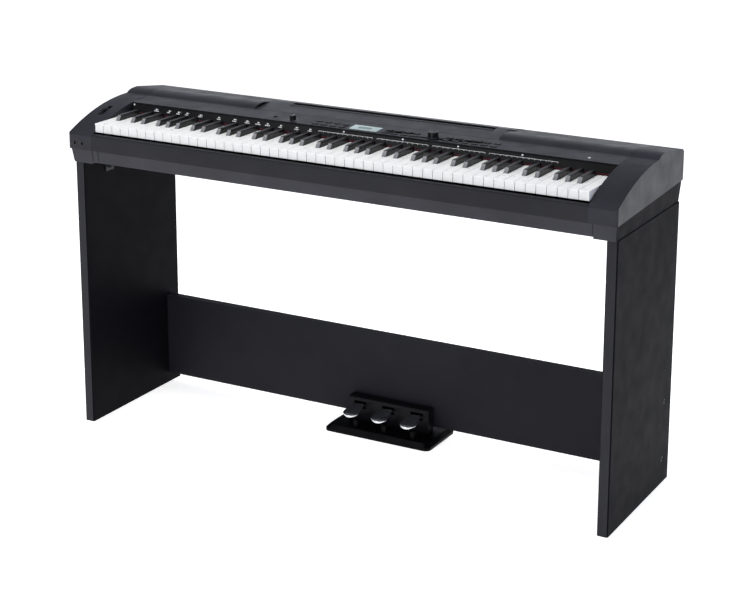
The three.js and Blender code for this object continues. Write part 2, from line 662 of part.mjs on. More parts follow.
function addDisplay() {
  const { below, proud } = DISPLAY;
  const { x0, x1, y0, y1, depth } = DISPLAY_WINDOW;
  const body = box(DISPLAY.x0, DISPLAY.x1, DISPLAY.y0, DISPLAY.y1, -below, proud);
  const window = box(x0, x1, y0, y1, proud - depth, proud + depth);
  add('display', cut(body, window), DISPLAY_TEAL, panelGroup);
}

function addKnob(name, knob) {
  const { radius, height } = knob;
  const crown = radius * KNOB_TAPER;
  const profile = [[0, -SHAFT_DEPTH], [SHAFT_RADIUS, -SHAFT_DEPTH], [SHAFT_RADIUS, KNOB_LIFT],
    [radius, KNOB_LIFT], [crown, height - 1], [crown - 1, height], [0, height]];
  add(name, turned(profile, 28), KNOB_BLACK, panelGroup).position.set(knob.x, knob.y, 0);
}

function addPowerButton() {
  const { radius, height, below, edge } = POWER;
  const profile = [[0, -below], [radius, -below], [radius, height - edge], [radius - edge, height],
    [0, height]];
  add('power_button', turned(profile, 20), BUTTON_BLACK, panelGroup).position.set(POWER.x, POWER.y, 0);
}

function addControls() {
  BUTTON_SETS.forEach(addButtonSet);
  addDisplay();
  addKnob('volume_knob', VOLUME);
  addKnob('data_dial', DIAL);
  addPowerButton();
  root.add(panelGroup);
}

// ------------------------------------------------------------------ speakers

function addSpeakers() {
  SPEAKER_X.forEach((x, i) => {
    const name = i === 0 ? 'left' : 'right';
    add(`speaker_grille_${name}`, humpStrip(x, GAP, 0, GRILLE.thick), SPEAKER_BLACK);
    const speaker = add(`speaker_${name}`, turned(SPEAKER_PROFILE, 24), SPEAKER_BLACK);
    const [y, z] = humpPoint((GRILLE.y0 + GRILLE.y1) / 2, SPEAKER_DROP);
    speaker.position.set(x, y, z);
    speaker.rotation.x = humpSlope;
  });
}

// --------------------------------------------------------------------- stand

function sidePanel() {
  const outer = STAND_HALF_WIDTH;
  const inner = STAND_HALF_WIDTH - STAND_THICK;
  const edge = STAND_EDGE;
  const plan = outline([
    [inner + edge, STAND_FRONT], [outer - edge, STAND_FRONT], [outer, STAND_FRONT + edge],
    [outer, STAND_REAR - 1], [outer - 1, STAND_REAR], [inner + 1, STAND_REAR], [inner, STAND_REAR - 1],
    [inner, STAND_FRONT + edge],
  ]);
  const board = extrudeZ(plan, 0, STAND_HEIGHT);
  const y = CROSS_FRONT + CROSS_THICK / 2;
  const holes = SCREW_Z.flatMap((z) => [
    rodX(SCREW.shank + GAP, inner - 5, outer + 5, y, z),
    rodX(SCREW.head + GAP, outer - SCREW.headThick - 1, outer + 5, y, z),
  ]);
  return cut(board, ...holes);
}

function addStand() {
  const panel = sidePanel();
  add('side_panel_right', panel, STAND_BLACK);
  add('side_panel_left', mirrored(panel), STAND_BLACK);

  const half = STAND_HALF_WIDTH - STAND_THICK - GAP;
  const y = CROSS_FRONT + CROSS_THICK / 2;
  const board = box(-half, half, CROSS_FRONT, CROSS_FRONT + CROSS_THICK, CROSS_BOTTOM, CROSS_TOP);
  const bore = SCREW.shank + GAP;
  const bores = SCREW_Z.flatMap((z) => [
    rodX(bore, half - SCREW.bore, half + 5, y, z), rodX(bore, -half - 5, SCREW.bore - half, y, z),
  ]);
  add('cross_panel', cut(board, ...bores), STAND_BLACK);

  const { head, headThick, shank, length, edge, sunk } = SCREW;
  const profile = [[0, -length], [shank, -length], [shank, -headThick], [head, -headThick],
    [head, -edge], [head - edge, 0], [0, 0]];
  for (const side of [-1, 1]) {
    SCREW_Z.forEach((z, i) => {
      const name = `panel_screw_${side < 0 ? 'left' : 'right'}_${i === 0 ? 'lower' : 'upper'}`;
      const screw = add(name, turned(profile, 20), STEEL);
      screw.position.set(side * (STAND_HALF_WIDTH - sunk), y, z);
      screw.rotation.y = side * (Math.PI / 2);
    });
  }
}

// Angle bracket between a stand panel and the underside of the piano.
function addBrackets() {
  const inner = STAND_HALF_WIDTH - STAND_THICK - GAP;
  const top = BASE_Z - GAP;
  const { y0, y1, thick, drop, reach } = BRACKET;
  const right = join(box(inner - thick, inner, y0, y1, top - drop, top),
    box(inner - reach, inner - 1, y0, y1, top - thick, top));
  add('fixing_bracket_right', right, STEEL);
  add('fixing_bracket_left', mirrored(right), STEEL);
}

// ---------------------------------------------------------------- pedal unit

function addPedalBase() {
  const { half, front, rear, height, bevel, corner } = PEDAL_BASE;
  const plate = loft([
    roundedLoop(half, front, rear, corner, 0),
    roundedLoop(half, front, rear, corner, height - bevel),
    roundedLoop(half - bevel, front + bevel, rear - bevel, corner - bevel / 2, height),
  ]);
  const posts = Object.values(PEDAL_X).map((x) => {
    const left = x + PEDAL_POST.side - PEDAL_POST.width / 2;
    return box(left, left + PEDAL_POST.width, PEDAL_POST.y, PEDAL_POST.y + PEDAL_POST.depth,
      height - 2, PEDAL_POST.top);
  });
  add('pedal_base', join(plate, ...posts), PANEL_BLACK);
}

function addPedalBox() {
  const { half, front, top, bottom, wall, round } = PEDAL_BOX;
  const rear = CROSS_FRONT - GAP;
  const side = outline([[front, bottom], [rear, bottom], [rear, top], [front + round, top],
    [front + round * 0.3, top - round * 0.3], [front, top - round]]);
  const hollow = box(wall - half, half - wall, front + wall, rear + 5, bottom - 5, top - wall);
  const slotHalf = PEDAL_HALF_NARROW + PEDAL_SLOT.side;
  const slotFoot = PEDAL_PIVOT.z - PEDAL_SLOT.below;
  const slotTop = PEDAL_PIVOT.z + PEDAL_SLOT.above;
  const slots = Object.values(PEDAL_X).map((x) => (
    box(x - slotHalf, x + slotHalf, front - 1, front + wall + 1, slotFoot, slotTop)));
  const bore = rodX(PEDAL_BORE_RADIUS, -half - 5, half + 5, PEDAL_PIVOT.y, PEDAL_PIVOT.z);
  add('pedal_box', cut(extrudeX(side, -half, half), hollow, ...slots, bore), PANEL_BLACK);
}

// One pedal: a paddle that widens to a round tip, on a bored hub.
function pedal() {
  const { y, z } = PEDAL_PIVOT;
  const wide = PEDAL_HALF_WIDE;
  const narrow = PEDAL_HALF_NARROW;
  const rear = PEDAL_SIDE[0][0];
  const stem = PEDAL_BOX.front - PEDAL_BOX.wall;
  const nose = PEDAL_TIP + wide * PEDAL_NOSE;
  const plan = new THREE.Shape();
  plan.moveTo(narrow, rear);
  plan.lineTo(-narrow, rear);
  plan.lineTo(-narrow, stem);
  plan.quadraticCurveTo(-wide, nose + PEDAL_SHOULDER, -wide, nose);
  plan.absellipse(0, nose, wide, wide * PEDAL_NOSE, Math.PI, 2 * Math.PI, false, 0);
  plan.quadraticCurveTo(wide, nose + PEDAL_SHOULDER, narrow, stem);
  const paddle = common(extrudeX(outline(PEDAL_SIDE), -wide, wide), extrudeZ(plan, 0, STAND_HEIGHT, 8));
  const hub = rodX(PEDAL_HUB_RADIUS, -PEDAL_HUB_HALF, PEDAL_HUB_HALF, y, z);
  const bore = rodX(PEDAL_BORE_RADIUS, -wide, wide, y, z);
  return cut(join(paddle, hub), bore);
}

function addPedals() {
  const shape = pedal();
  for (const [name, x] of Object.entries(PEDAL_X)) add(name, shape, CHROME).position.x = x;
  const reach = PEDAL_BOX.half - PEDAL_BOX.wall / 2;
  add('pedal_axle', rodX(PEDAL_AXLE_RADIUS, -reach, reach, PEDAL_PIVOT.y, PEDAL_PIVOT.z), STEEL);
}

// ------------------------------------------------------------------ assembly

addStand();
addBrackets();
addPedalBase();
addPedalBox();
addPedals();
addBottomCase();
addKeyBed();
addMainBoard();
addEndBlocks();
addPitchWheel();
addKeySlip();
addNameBoard();
addFeltStrip();
addTopCover();
addSpeakers();
addControls();
addKeys();

export default root;
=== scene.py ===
# Looks of a digital piano on a panel stand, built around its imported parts.
# Units are metres, in the part's own frame: X runs from bass to treble, the
# player sits on the -Y side, +Z is up and the floor is at zero.
import math
import random

import bmesh
import bpy
from mathutils import Matrix, Vector


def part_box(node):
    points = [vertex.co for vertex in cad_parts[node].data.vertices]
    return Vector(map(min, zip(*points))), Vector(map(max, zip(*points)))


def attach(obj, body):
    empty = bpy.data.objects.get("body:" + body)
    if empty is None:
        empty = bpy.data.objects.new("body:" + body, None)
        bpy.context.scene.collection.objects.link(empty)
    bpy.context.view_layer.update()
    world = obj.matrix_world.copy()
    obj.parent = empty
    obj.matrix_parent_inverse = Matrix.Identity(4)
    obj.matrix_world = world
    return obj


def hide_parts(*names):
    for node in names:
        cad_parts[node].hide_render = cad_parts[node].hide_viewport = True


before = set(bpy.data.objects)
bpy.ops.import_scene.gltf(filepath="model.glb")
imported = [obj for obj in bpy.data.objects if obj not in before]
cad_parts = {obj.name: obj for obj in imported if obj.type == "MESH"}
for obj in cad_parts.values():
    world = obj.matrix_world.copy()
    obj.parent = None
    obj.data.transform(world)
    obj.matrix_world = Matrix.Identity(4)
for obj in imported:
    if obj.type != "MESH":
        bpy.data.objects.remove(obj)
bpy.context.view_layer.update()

ROOT = "stand_and_case"
MM = 0.001
HAIR = 0.01 * MM  # the slit between two solids of one piece

# ---------------------------------------------------------------- dimensions

# keys
KEYBOARD_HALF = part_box("key_bed")[1].x
WHITE_COUNT = 52
WHITE_PITCH = 2 * KEYBOARD_HALF / WHITE_COUNT
KEY_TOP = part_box("white_key_c4")[1].z
WHITE_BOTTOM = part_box("white_key_c4")[0].z
WHITE_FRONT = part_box("white_key_c4")[0].y
WHITE_REAR = 8 * MM
WHITE_TAIL_TOP = 725 * MM
WHITE_TAIL_LAP = 0.5 * MM  # how far the tail bar reaches into the keys
KEY_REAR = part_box("white_key_c4")[1].y
KEY_SIDE_GAP = 0.9 * MM
CAP_THICK = 4.2 * MM  # the white cap overhangs the key's front wall by a small lip
CAP_LIP = 1.1 * MM
CAP_SIDE = 0.12 * MM
BLACK_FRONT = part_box("black_key_c_sharp4")[0].y
BLACK_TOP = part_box("black_key_c_sharp4")[1].z
BLACK_WIDTH = 10 * MM
BLACK_TOP_HALF = 4.5 * MM
BLACK_SLOT_HALF = 6 * MM
BLACK_SLOT_FRONT = BLACK_FRONT - 1.5 * MM
BLACK_NOSE = 8.0 * MM
BLACK_NOSE_FOOT = KEY_TOP + 1 * MM
BLACK_NOSE_BEND = 0.12  # the part of the nose taken by its rounded upper corner
BLACK_SOFT = 0.9 * MM
BLACK_ROUND_STEPS = 4
BLACK_CAP_REAR = -47.5 * MM
BLACK_REAR_EASE = (1 * MM, 0.8 * MM)  # length and drop of the cap's eased rear edge
BLACK_BODY_BOTTOM = 722 * MM
BLACK_BODY_REAR = 4 * MM
BLACK_TAIL = (727.3 * MM, 736.7 * MM)
BLACK_BAR_FRONT = 32 * MM
BLACK_SHIFT = {"C": -2.4 * MM, "D": 2.4 * MM, "F": -3.3 * MM, "G": 0.0, "A": 3.3 * MM}
SINGLE_OCTAVE = 4
OCTAVES = 7
FELT_STEPS = 240
FELT_SIDES = 12

# control panel: its front edge, and its slope up to the foot of the humps
PANEL_FRONT = Vector((0, -29 * MM, 760.4 * MM))
PANEL_FOOT = Vector((0, 36 * MM, 764.6 * MM))
PANEL_ALONG = (PANEL_FOOT - PANEL_FRONT).normalized()
PANEL_UP = Vector((1, 0, 0)).cross(PANEL_ALONG)
PANEL_TILT = math.atan2(PANEL_ALONG.z, PANEL_ALONG.y)
VOLUME = (-183.5 * MM, 20 * MM)
VOLUME_HEIGHT = 11 * MM
VOLUME_RIBS = 28
VOLUME_RIB_DEPTH = 0.035
DIAL = (175 * MM, 17 * MM)
DIAL_HEIGHT = 15 * MM
DIAL_TEETH = 72
DIAL_TOOTH_DEPTH = 0.012
KNOB_SHAFT = [(0.2 * MM, -9 * MM), (3 * MM, -9 * MM), (3 * MM, 0.4 * MM)]  # down through the panel
SCALE_MARKS = 11
SCALE_RADIUS = 9.2 * MM
# a dark seam beside the middle controls, and painted shade along the crease behind them, from end to end
PANEL_SEAM_AND_CREASE_SHADE = [((-140, 11), (-121, 63.6)), ((-314, 63.6), (307, 63.6))]
LINE_HALF = 1.2 * MM
LINE_LIFT = (0.03 * MM, 0.1 * MM)
DISPLAY_GLASS = ((-14.8, 17.8), (16.2, 30.8))
POWER_LAMP = (540 * MM, 19.6 * MM)
POWER_LAMP_RADIUS = 3.4 * MM

# name board between the keys and the panel
BOARD_FOOT = Vector((0, -39 * MM, 741 * MM))
BOARD_TOP = Vector((0, -29.6 * MM, 756.9 * MM))
BOARD_ALONG = (BOARD_TOP - BOARD_FOOT).normalized()
BOARD_TILT = math.atan2(BOARD_ALONG.z, BOARD_ALONG.y)
BOARD_LAMPS = [-607, -38, 110, 245, 397]
BOARD_LAMP_UP = 16 * MM
BOARD_LAMP_RADIUS = 2.2 * MM
LEGEND_X = [-541, -504, -478, -454, -417, -367, -323, -290, -260, -235, -200, -158, -123]
SCALE_SPANS = [(-101, 36), (48, 174), (185, 311), (321, 480)]

# rows of print on the name board, as distances up its slope
SIGN_ROW = (9.9 * MM, 12.7 * MM)
DOT_ROW = (10.4 * MM, 12.2 * MM)
WORD_ROW = (6.2 * MM, 8.4 * MM)
SCALE_LINE_ROW = (10.4 * MM, 11.2 * MM)
TICK_ROW = (8.2 * MM, 10.4 * MM)
TICK_HALF = 0.4 * MM
TICK_PITCH = 13 * MM
INK_LIFT = (0.03 * MM, 0.09 * MM)

# stand
PANEL_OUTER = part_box("side_panel_right")[1].x
PANEL_THICK = 25 * MM
STAND_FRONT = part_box("side_panel_right")[0].y
STAND_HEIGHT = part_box("side_panel_right")[1].z
BAND_THICK = 0.35 * MM
BAND_INSET = 2.4 * MM  # from each edge of the board's front
BAND_END = 1 * MM
SCREW_Y = 145 * MM
SCREW_HEIGHTS = {"lower": 57 * MM, "upper": 193 * MM}
SCREW_HEAD = 6.5 * MM
SCREW_HEAD_THICK = 3 * MM
SCREW_SHANK = 3.2 * MM
SCREW_LENGTH = 50 * MM
SCREW_SIDES = 48
BRACKET_SKIN = 2.6 * MM  # just past the bracket's own thickness
THUMB_FROM_EDGE = 8 * MM
THUMB_UP = 14 * MM

# casing
CASE_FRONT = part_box("key_slip")[0].y
BASE_MIDDLE = 644.5 * MM
BASE_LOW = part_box("bottom_case")[0].z
BASE_HALF = 671.5 * MM
BASE_LEAN = 0.09
# the (y, z) outline of the painted shadow that the end blocks cast on each sloping side of the lower casing
SIDE_SHADOW_OUTLINE = [(-177, 642), (182.5, 642), (185, 686.5), (-182.5, 673.2)]
SIDE_SHADOW_THICK = 0.4 * MM
FEET = [(-500, -150), (15, -150), (526, -150), (-500, 150), (15, 150), (526, 150)]
HEADPHONES = [(-660 * MM, 689 * MM), (-640 * MM, 689 * MM)]
BASE_REAR = 181.5 * MM
REAR_SOCKETS = [-330 * MM, -290 * MM, -250 * MM, -210 * MM]
REAR_SOCKET_Z = 665 * MM
HEADPHONE_RING = (3.3 * MM, 5.2 * MM, 0.02 * MM, 0.6 * MM)
REAR_RING = (3.7 * MM, 6.2 * MM, 3.2 * MM, 4.2 * MM)

# pedals
PEDAL_X = {"pedal_left": -76 * MM, "pedal_middle": 0.0, "pedal_right": 76 * MM}
PEDAL_PIVOT = (123 * MM, 50 * MM)
PEDAL_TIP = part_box("pedal_middle")[0].y
PEDAL_STATIONS = 30
PEDAL_TOE_HALF = 21 * MM
PEDAL_TOE_ROUND = PEDAL_TOE_HALF * 0.8
PEDAL_ARM_HALF = 14.5 * MM
PEDAL_ARM_START = 106 * MM
PEDAL_UPPER = (49.5 * MM, 13.4 * MM)  # the upper face at the tip, and its rise up to the pivot
PEDAL_UNDER = (43.2 * MM, 10.2 * MM)
PEDAL_EASE = 9 * MM  # the length over which both faces close in towards the tip
PEDAL_ROUND_STEPS = 5
SLEEVE = (3.5 * MM, 7 * MM, -13 * MM, 13 * MM)

# floor and studio light
FLOOR_HALF = 30.0
FLOOR_DROP = 0.2 * MM
FLOOR_GLOW = 0.76
HORIZON_LIGHT = 0.72
CEILING_LIGHT = 0.15
CEILING_FROM = 0.8


# ----------------------------------------------------------- mesh foundations


def piece(name, mesh, body, material, smooth=True):
    """Makes a named object from a bmesh, riding on a CAD body."""
    data = bpy.data.meshes.new(name)
    bmesh.ops.recalc_face_normals(mesh, faces=mesh.faces)
    mesh.to_mesh(data)
    mesh.free()
    for polygon in data.polygons:
        polygon.use_smooth = smooth
    made = bpy.data.objects.new(name, data)
    bpy.context.scene.collection.objects.link(made)
    data.materials.append(material)
    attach(made, body)
    return made


def skin(mesh, loops, closed=False):
    """Joins loops of equal length into a tube, with its ends filled unless it closes on itself."""
    rows = [[mesh.verts.new(point) for point in loop] for loop in loops]
    count = len(rows[0])
    pairs = list(zip(rows, rows[1:]))
    if closed:
        pairs.append((rows[-1], rows[0]))
    for low, high in pairs:
        for i in range(count):
            j = (i + 1) % count
            mesh.faces.new((low[i], low[j], high[j], high[i]))
    if not closed:
        mesh.faces.new(reversed(rows[0]))
        mesh.faces.new(rows[-1])


def prism(mesh, outline, low, high):
    """An (x, y) outline between two heights."""
    skin(mesh, [[(x, y, z) for x, y in outline] for z in (low, high)])


def block(mesh, x, y, z):
    """A box between pairs of limits."""
    prism(mesh, [(x[0], y[0]), (x[1], y[0]), (x[1], y[1]), (x[0], y[1])], z[0], z[1])


def turned(mesh, profile, place, sides=48, ripple=None):
    """A turned body from (radius, height) pairs. ripple(angle, height) scales the radius."""
    loops = []
    for radius, height in profile:
        loop = []
        for i in range(sides):
            angle = 2 * math.pi * i / sides
            reach = radius * (ripple(angle, height) if ripple else 1)
            loop.append(place @ Vector((reach * math.cos(angle), reach * math.sin(angle), height)))
        loops.append(loop)
    skin(mesh, loops)


def ring(mesh, inner, outer, low, high, place, sides=40):
    """A flat ring with a softened rim, from its inner to its outer radius."""
    soft = min(outer - inner, high - low) * 0.3
    section = [
        (inner, low), (outer, low), (outer, high - soft), (outer - soft, high),
        (inner + soft, high), (inner, high - soft),
    ]
    loops = []
    for i in range(sides):
        angle = 2 * math.pi * i / sides
        turn = Vector((math.cos(angle), math.sin(angle), 0))
        loops.append([place @ (turn * r + Vector((0, 0, z))) for r, z in section])
    skin(mesh, loops, closed=True)


def soften(made, width, segments=2, angle=35, dissolve=False):
    """Rounds the sharp edges of a piece, and shades it smooth between them."""
    if dissolve:
        weld = made.modifiers.new("weld", "WELD")
        weld.merge_threshold = 0.01 * MM
        flatten = made.modifiers.new("flatten", "DECIMATE")
        flatten.decimate_type = "DISSOLVE"
        flatten.angle_limit = math.radians(0.5)
    bevel = made.modifiers.new("bevel", "BEVEL")
    bevel.width = width
    bevel.segments = segments
    bevel.limit_method = "ANGLE"
    bevel.angle_limit = math.radians(angle)
    bevel.use_clamp_overlap = True
    bevel.miter_outer = "MITER_ARC"
    weighted = made.modifiers.new("weighted", "WEIGHTED_NORMAL")
    weighted.keep_sharp = True


def on_panel(x, along, up=0.0):
    """A point on the control panel, from X, the distance behind its front edge and a lift."""
    return PANEL_FRONT + Vector((x, 0, 0)) + PANEL_ALONG * along + PANEL_UP * up


def panel_place(x, along):
    """The frame of a round piece that stands on the control panel."""
    return Matrix.Translation(on_panel(x, along)) @ Matrix.Rotation(PANEL_TILT, 4, "X")


def board_place(x, along):
    """The frame of a piece on the name board, from X and the distance up its slope."""
    point = BOARD_FOOT + Vector((x, 0, 0)) + BOARD_ALONG * along
    return Matrix.Translation(point) @ Matrix.Rotation(BOARD_TILT, 4, "X")


def facing(point, direction):
    """The frame of a round piece at a point whose axis runs along a direction."""
    turn = Vector(direction).to_track_quat("Z", "Y").to_matrix().to_4x4()
    return Matrix.Translation(Vector(point)) @ turn


# ------------------------------------------------------------ material nodes


class Surface:
    """A material's node tree, with the object's own coordinates as its texture space."""

    def __init__(self, name, colour, roughness, metallic=0.0, specular=0.5):
        self.material = bpy.data.materials.new(name)
        self.material.use_nodes = True
        self.tree = self.material.node_tree
        self.shader = self.tree.nodes["Principled BSDF"]
        self.shader.inputs["Base Color"].default_value = (*colour, 1)
        self.shader.inputs["Roughness"].default_value = roughness
        self.shader.inputs["Metallic"].default_value = metallic
        self.shader.inputs["Specular IOR Level"].default_value = specular
        places = self.tree.nodes.new("ShaderNodeTexCoord").outputs
        self.coordinates = places["Object"]
        self.normal = places["Normal"]

    def node(self, kind, **inputs):
        made = self.tree.nodes.new(kind)
        for name, value in inputs.items():
            socket = made.inputs[name.replace("_", " ")]
            if isinstance(value, bpy.types.NodeSocket):
                self.tree.links.new(value, socket)
            else:
                socket.default_value = value
        return made

    def stretched(self, scale):
        """The coordinates multiplied along each axis."""
        made = self.node("ShaderNodeMapping", Vector=self.coordinates)
        made.inputs["Scale"].default_value = scale
        return made.outputs["Vector"]

    def noise(self, scale, detail=3.0, vector=None, roughness=0.5):
        made = self.node(
            "ShaderNodeTexNoise", Vector=vector or self.coordinates, Scale=scale,
            Detail=detail, Roughness=roughness,
        )
        return made.outputs["Fac"]

    def spread(self, value, low, high, start=0.0, end=1.0):
        """Maps a value from start...end to low...high."""
        made = self.node("ShaderNodeMapRange", Value=value)
        made.inputs["From Min"].default_value = start
        made.inputs["From Max"].default_value = end
        made.inputs["To Min"].default_value = low
        made.inputs["To Max"].default_value = high
        return made.outputs["Result"]

    def maths(self, operation, first, second=0.0):
        made = self.tree.nodes.new("ShaderNodeMath")
        made.operation = operation
        for socket, value in zip(made.inputs, (first, second)):
            if isinstance(value, bpy.types.NodeSocket):
                self.tree.links.new(value, socket)
            else:
                socket.default_value = value
        return made.outputs[0]

    def tone(self, factor, first, second):
        """Mixes two colours by a factor into the base colour."""
        made = self.tree.nodes.new("ShaderNodeMix")
        made.data_type = "RGBA"
        self.tree.links.new(factor, made.inputs["Factor"])
        made.inputs["A"].default_value = (*first, 1)
        made.inputs["B"].default_value = (*second, 1)
        self.tree.links.new(made.outputs["Result"], self.shader.inputs["Base Color"])

    def rough(self, value):
        self.tree.links.new(value, self.shader.inputs["Roughness"])

    def bump(self, height, distance, strength=1.0):
        """Adds a height map on top of the bumps made before."""
        made = self.node("ShaderNodeBump", Height=height, Strength=strength, Distance=distance)
        normal = self.shader.inputs["Normal"]
        if normal.links:
            self.tree.links.new(normal.links[0].from_socket, made.inputs["Normal"])
        self.tree.links.new(made.outputs["Normal"], normal)


def lighter(colour, factor):
    return tuple(min(1.0, channel * factor) for channel in colour)


def moulded(name, colour, roughness, grain=1400, depth=0.02 * MM, specular=0.5):
    """Moulded plastic: fine spark-eroded grain, faint flow marks and handling sheen."""
    surface = Surface(name, colour, roughness, specular=specular)
    flow = surface.noise(9, 4)
    surface.tone(surface.spread(flow, 0, 1, 0.35, 0.65), lighter(colour, 0.86), lighter(colour, 1.16))
    sheen = surface.noise(26, 5)
    surface.rough(surface.spread(sheen, roughness * 0.85, roughness * 1.18, 0.3, 0.7))
    surface.bump(surface.noise(grain, 2), depth)
    return surface.material


def laminate(name, colour, specular):
    """Black melamine-faced board: a very fine pearl texture over a slow unevenness."""
    surface = Surface(name, colour, 0.5, specular=specular)
    slow = surface.noise(3.5, 3)
    surface.tone(surface.spread(slow, 0, 1, 0.35, 0.65), lighter(colour, 0.9), lighter(colour, 1.12))
    surface.rough(surface.spread(surface.noise(22, 4), 0.5, 0.6, 0.3, 0.7))
    surface.bump(surface.noise(950, 3), 0.02 * MM)
    return surface.material


def white_key_plastic():
    colour = (0.8, 0.8, 0.79)
    surface = Surface("white_key_plastic", colour, 0.26, specular=0.5)
    surface.tone(surface.noise(14, 3), lighter(colour, 0.985), lighter(colour, 1.015))
    surface.rough(surface.spread(surface.noise(45, 4), 0.26, 0.34, 0.3, 0.7))
    surface.bump(surface.noise(90, 1), 0.004 * MM)
    return surface.material


def black_key_plastic():
    """Satin black plastic, paler where the nose slopes down to the player: a painted highlight."""
    colour = (0.006, 0.006, 0.007)
    surface = Surface("black_key_plastic", colour, 0.32, specular=0.4)
    axes = surface.node("ShaderNodeSeparateXYZ", Vector=surface.normal)
    nose = surface.spread(axes.outputs["Y"], 0, 1, -0.45, -0.75)
    # painted highlight: faces that slope down towards the player are mixed towards pale grey, in place of
    # the light they reflect
    painted_nose_highlight = surface.maths("MULTIPLY", nose, surface.spread(surface.noise(60, 4), 0.7, 1))
    surface.tone(painted_nose_highlight, colour, (0.27, 0.27, 0.285))
    grain = surface.noise(700, 3, surface.stretched((1, 0.12, 1)))
    surface.rough(surface.spread(grain, 0.26, 0.38, 0.3, 0.7))
    surface.bump(grain, 0.006 * MM)
    return surface.material


def felt():
    """Pressed wool felt: matted fibres with a soft sheen."""
    colour = (0.05, 0.004, 0.009)
    surface = Surface("key_felt", colour, 0.95, specular=0.15)
    fibres = surface.noise(1500, 6, surface.stretched((1, 2.2, 2.2)), 0.7)
    surface.tone(surface.spread(fibres, 0, 1, 0.3, 0.7), lighter(colour, 0.55), lighter(colour, 1.5))
    surface.bump(fibres, 0.35 * MM)
    surface.bump(surface.noise(240, 3), 0.3 * MM)
    surface.shader.inputs["Sheen Weight"].default_value = 0.12
    surface.shader.inputs["Sheen Roughness"].default_value = 0.5
    return surface.material


def plated(name, colour, roughness):
    """Polished plating with hairline polishing marks and a few smudges."""
    surface = Surface(name, colour, roughness, metallic=1.0)
    hair = surface.noise(900, 3, surface.stretched((1, 0.05, 1)))
    smudge = surface.noise(38, 4)
    surface.rough(surface.spread(smudge, roughness * 0.7, roughness * 1.9, 0.35, 0.7))
    surface.tone(smudge, lighter(colour, 0.93), lighter(colour, 1.04))
    surface.bump(hair, 0.004 * MM)
    return surface.material


def dark_steel():
    colour = (0.022, 0.022, 0.025)
    surface = Surface("black_zinc_steel", colour, 0.45, metallic=0.6)
    patina = surface.noise(120, 5)
    surface.tone(patina, lighter(colour, 0.6), lighter(colour, 1.6))
    surface.rough(surface.spread(patina, 0.32, 0.55, 0.3, 0.7))
    surface.bump(surface.noise(800, 3), 0.015 * MM)
    return surface.material


def perforated():
    """Perforated steel sheet in satin black paint. Its staggered round holes are not cut but coloured
    near-black: painted shade.
    """
    colour = (0.028, 0.028, 0.031)
    surface = Surface("perforated_grille", colour, 0.42)
    turned_grid = surface.node("ShaderNodeMapping", Vector=surface.coordinates)
    turned_grid.inputs["Rotation"].default_value = (0, 0, math.radians(45))
    turned_grid.inputs["Scale"].default_value = (1, 1, 0)
    grid = surface.node(
        "ShaderNodeTexVoronoi", Vector=turned_grid.outputs["Vector"], Scale=420.0, Randomness=0.0,
    )
    solid = surface.spread(grid.outputs["Distance"], 0, 1, 0.27, 0.33)
    # painted shade: the holes get a near-black colour for the dark seen through them
    surface.tone(solid, (0.001, 0.001, 0.001), colour)
    surface.rough(surface.spread(surface.noise(40, 4), 0.36, 0.5, 0.3, 0.7))
    surface.bump(solid, 0.5 * MM, 0.6)
    surface.bump(surface.noise(1500, 2), 0.01 * MM)
    return surface.material


def display_window():
    """Liquid crystal glass with its faint dot grid."""
    colour = (0.15, 0.2, 0.205)
    surface = Surface("display_window", colour, 0.12)
    grid = surface.node("ShaderNodeTexVoronoi", Vector=surface.coordinates, Scale=1100.0, Randomness=0.0)
    dots = surface.spread(grid.outputs["Distance"], 1, 0, 0.35, 0.5)
    surface.tone(surface.maths("MULTIPLY", dots, surface.noise(160, 2)), colour, lighter(colour, 0.72))
    surface.rough(surface.spread(surface.noise(60, 3), 0.08, 0.18, 0.3, 0.7))
    return surface.material


def circuit_board():
    colour = (0.015, 0.11, 0.045)
    surface = Surface("solder_mask", colour, 0.35)
    tracks = surface.node("ShaderNodeTexBrick", Vector=surface.coordinates, Scale=180.0)
    surface.tone(tracks.outputs["Fac"], colour, lighter(colour, 1.9))
    surface.bump(tracks.outputs["Fac"], 0.03 * MM)
    surface.rough(surface.spread(surface.noise(200, 3), 0.3, 0.45))
    return surface.material


def speaker_paper():
    """Pressed paper cone with ribs and a rubbery surround."""
    colour = (0.018, 0.018, 0.019)
    surface = Surface("speaker_cone", colour, 0.75, specular=0.3)
    fibres = surface.noise(900, 5)
    surface.tone(fibres, lighter(colour, 0.7), lighter(colour, 1.6))
    surface.rough(surface.spread(surface.noise(90, 3), 0.65, 0.85))
    surface.bump(fibres, 0.08 * MM)
    return surface.material


def ink():
    """Screen-printed legends: thin off-white ink with worn spots."""
    colour = (0.78, 0.79, 0.8)
    surface = Surface("printed_ink", colour, 0.5)
    surface.tone(surface.spread(surface.noise(900, 4), 0, 1, 0.35, 0.6), lighter(colour, 0.7), colour)
    surface.rough(surface.spread(surface.noise(300, 2), 0.4, 0.6))
    surface.bump(surface.noise(1800, 2), 0.01 * MM)
    return surface.material


def lamp_lens():
    colour = (0.7, 0.72, 0.74)
    surface = Surface("lamp_lens", colour, 0.2)
    surface.tone(surface.noise(500, 2), lighter(colour, 0.85), lighter(colour, 1.1))
    surface.rough(surface.spread(surface.noise(260, 2), 0.12, 0.28))
    return surface.material


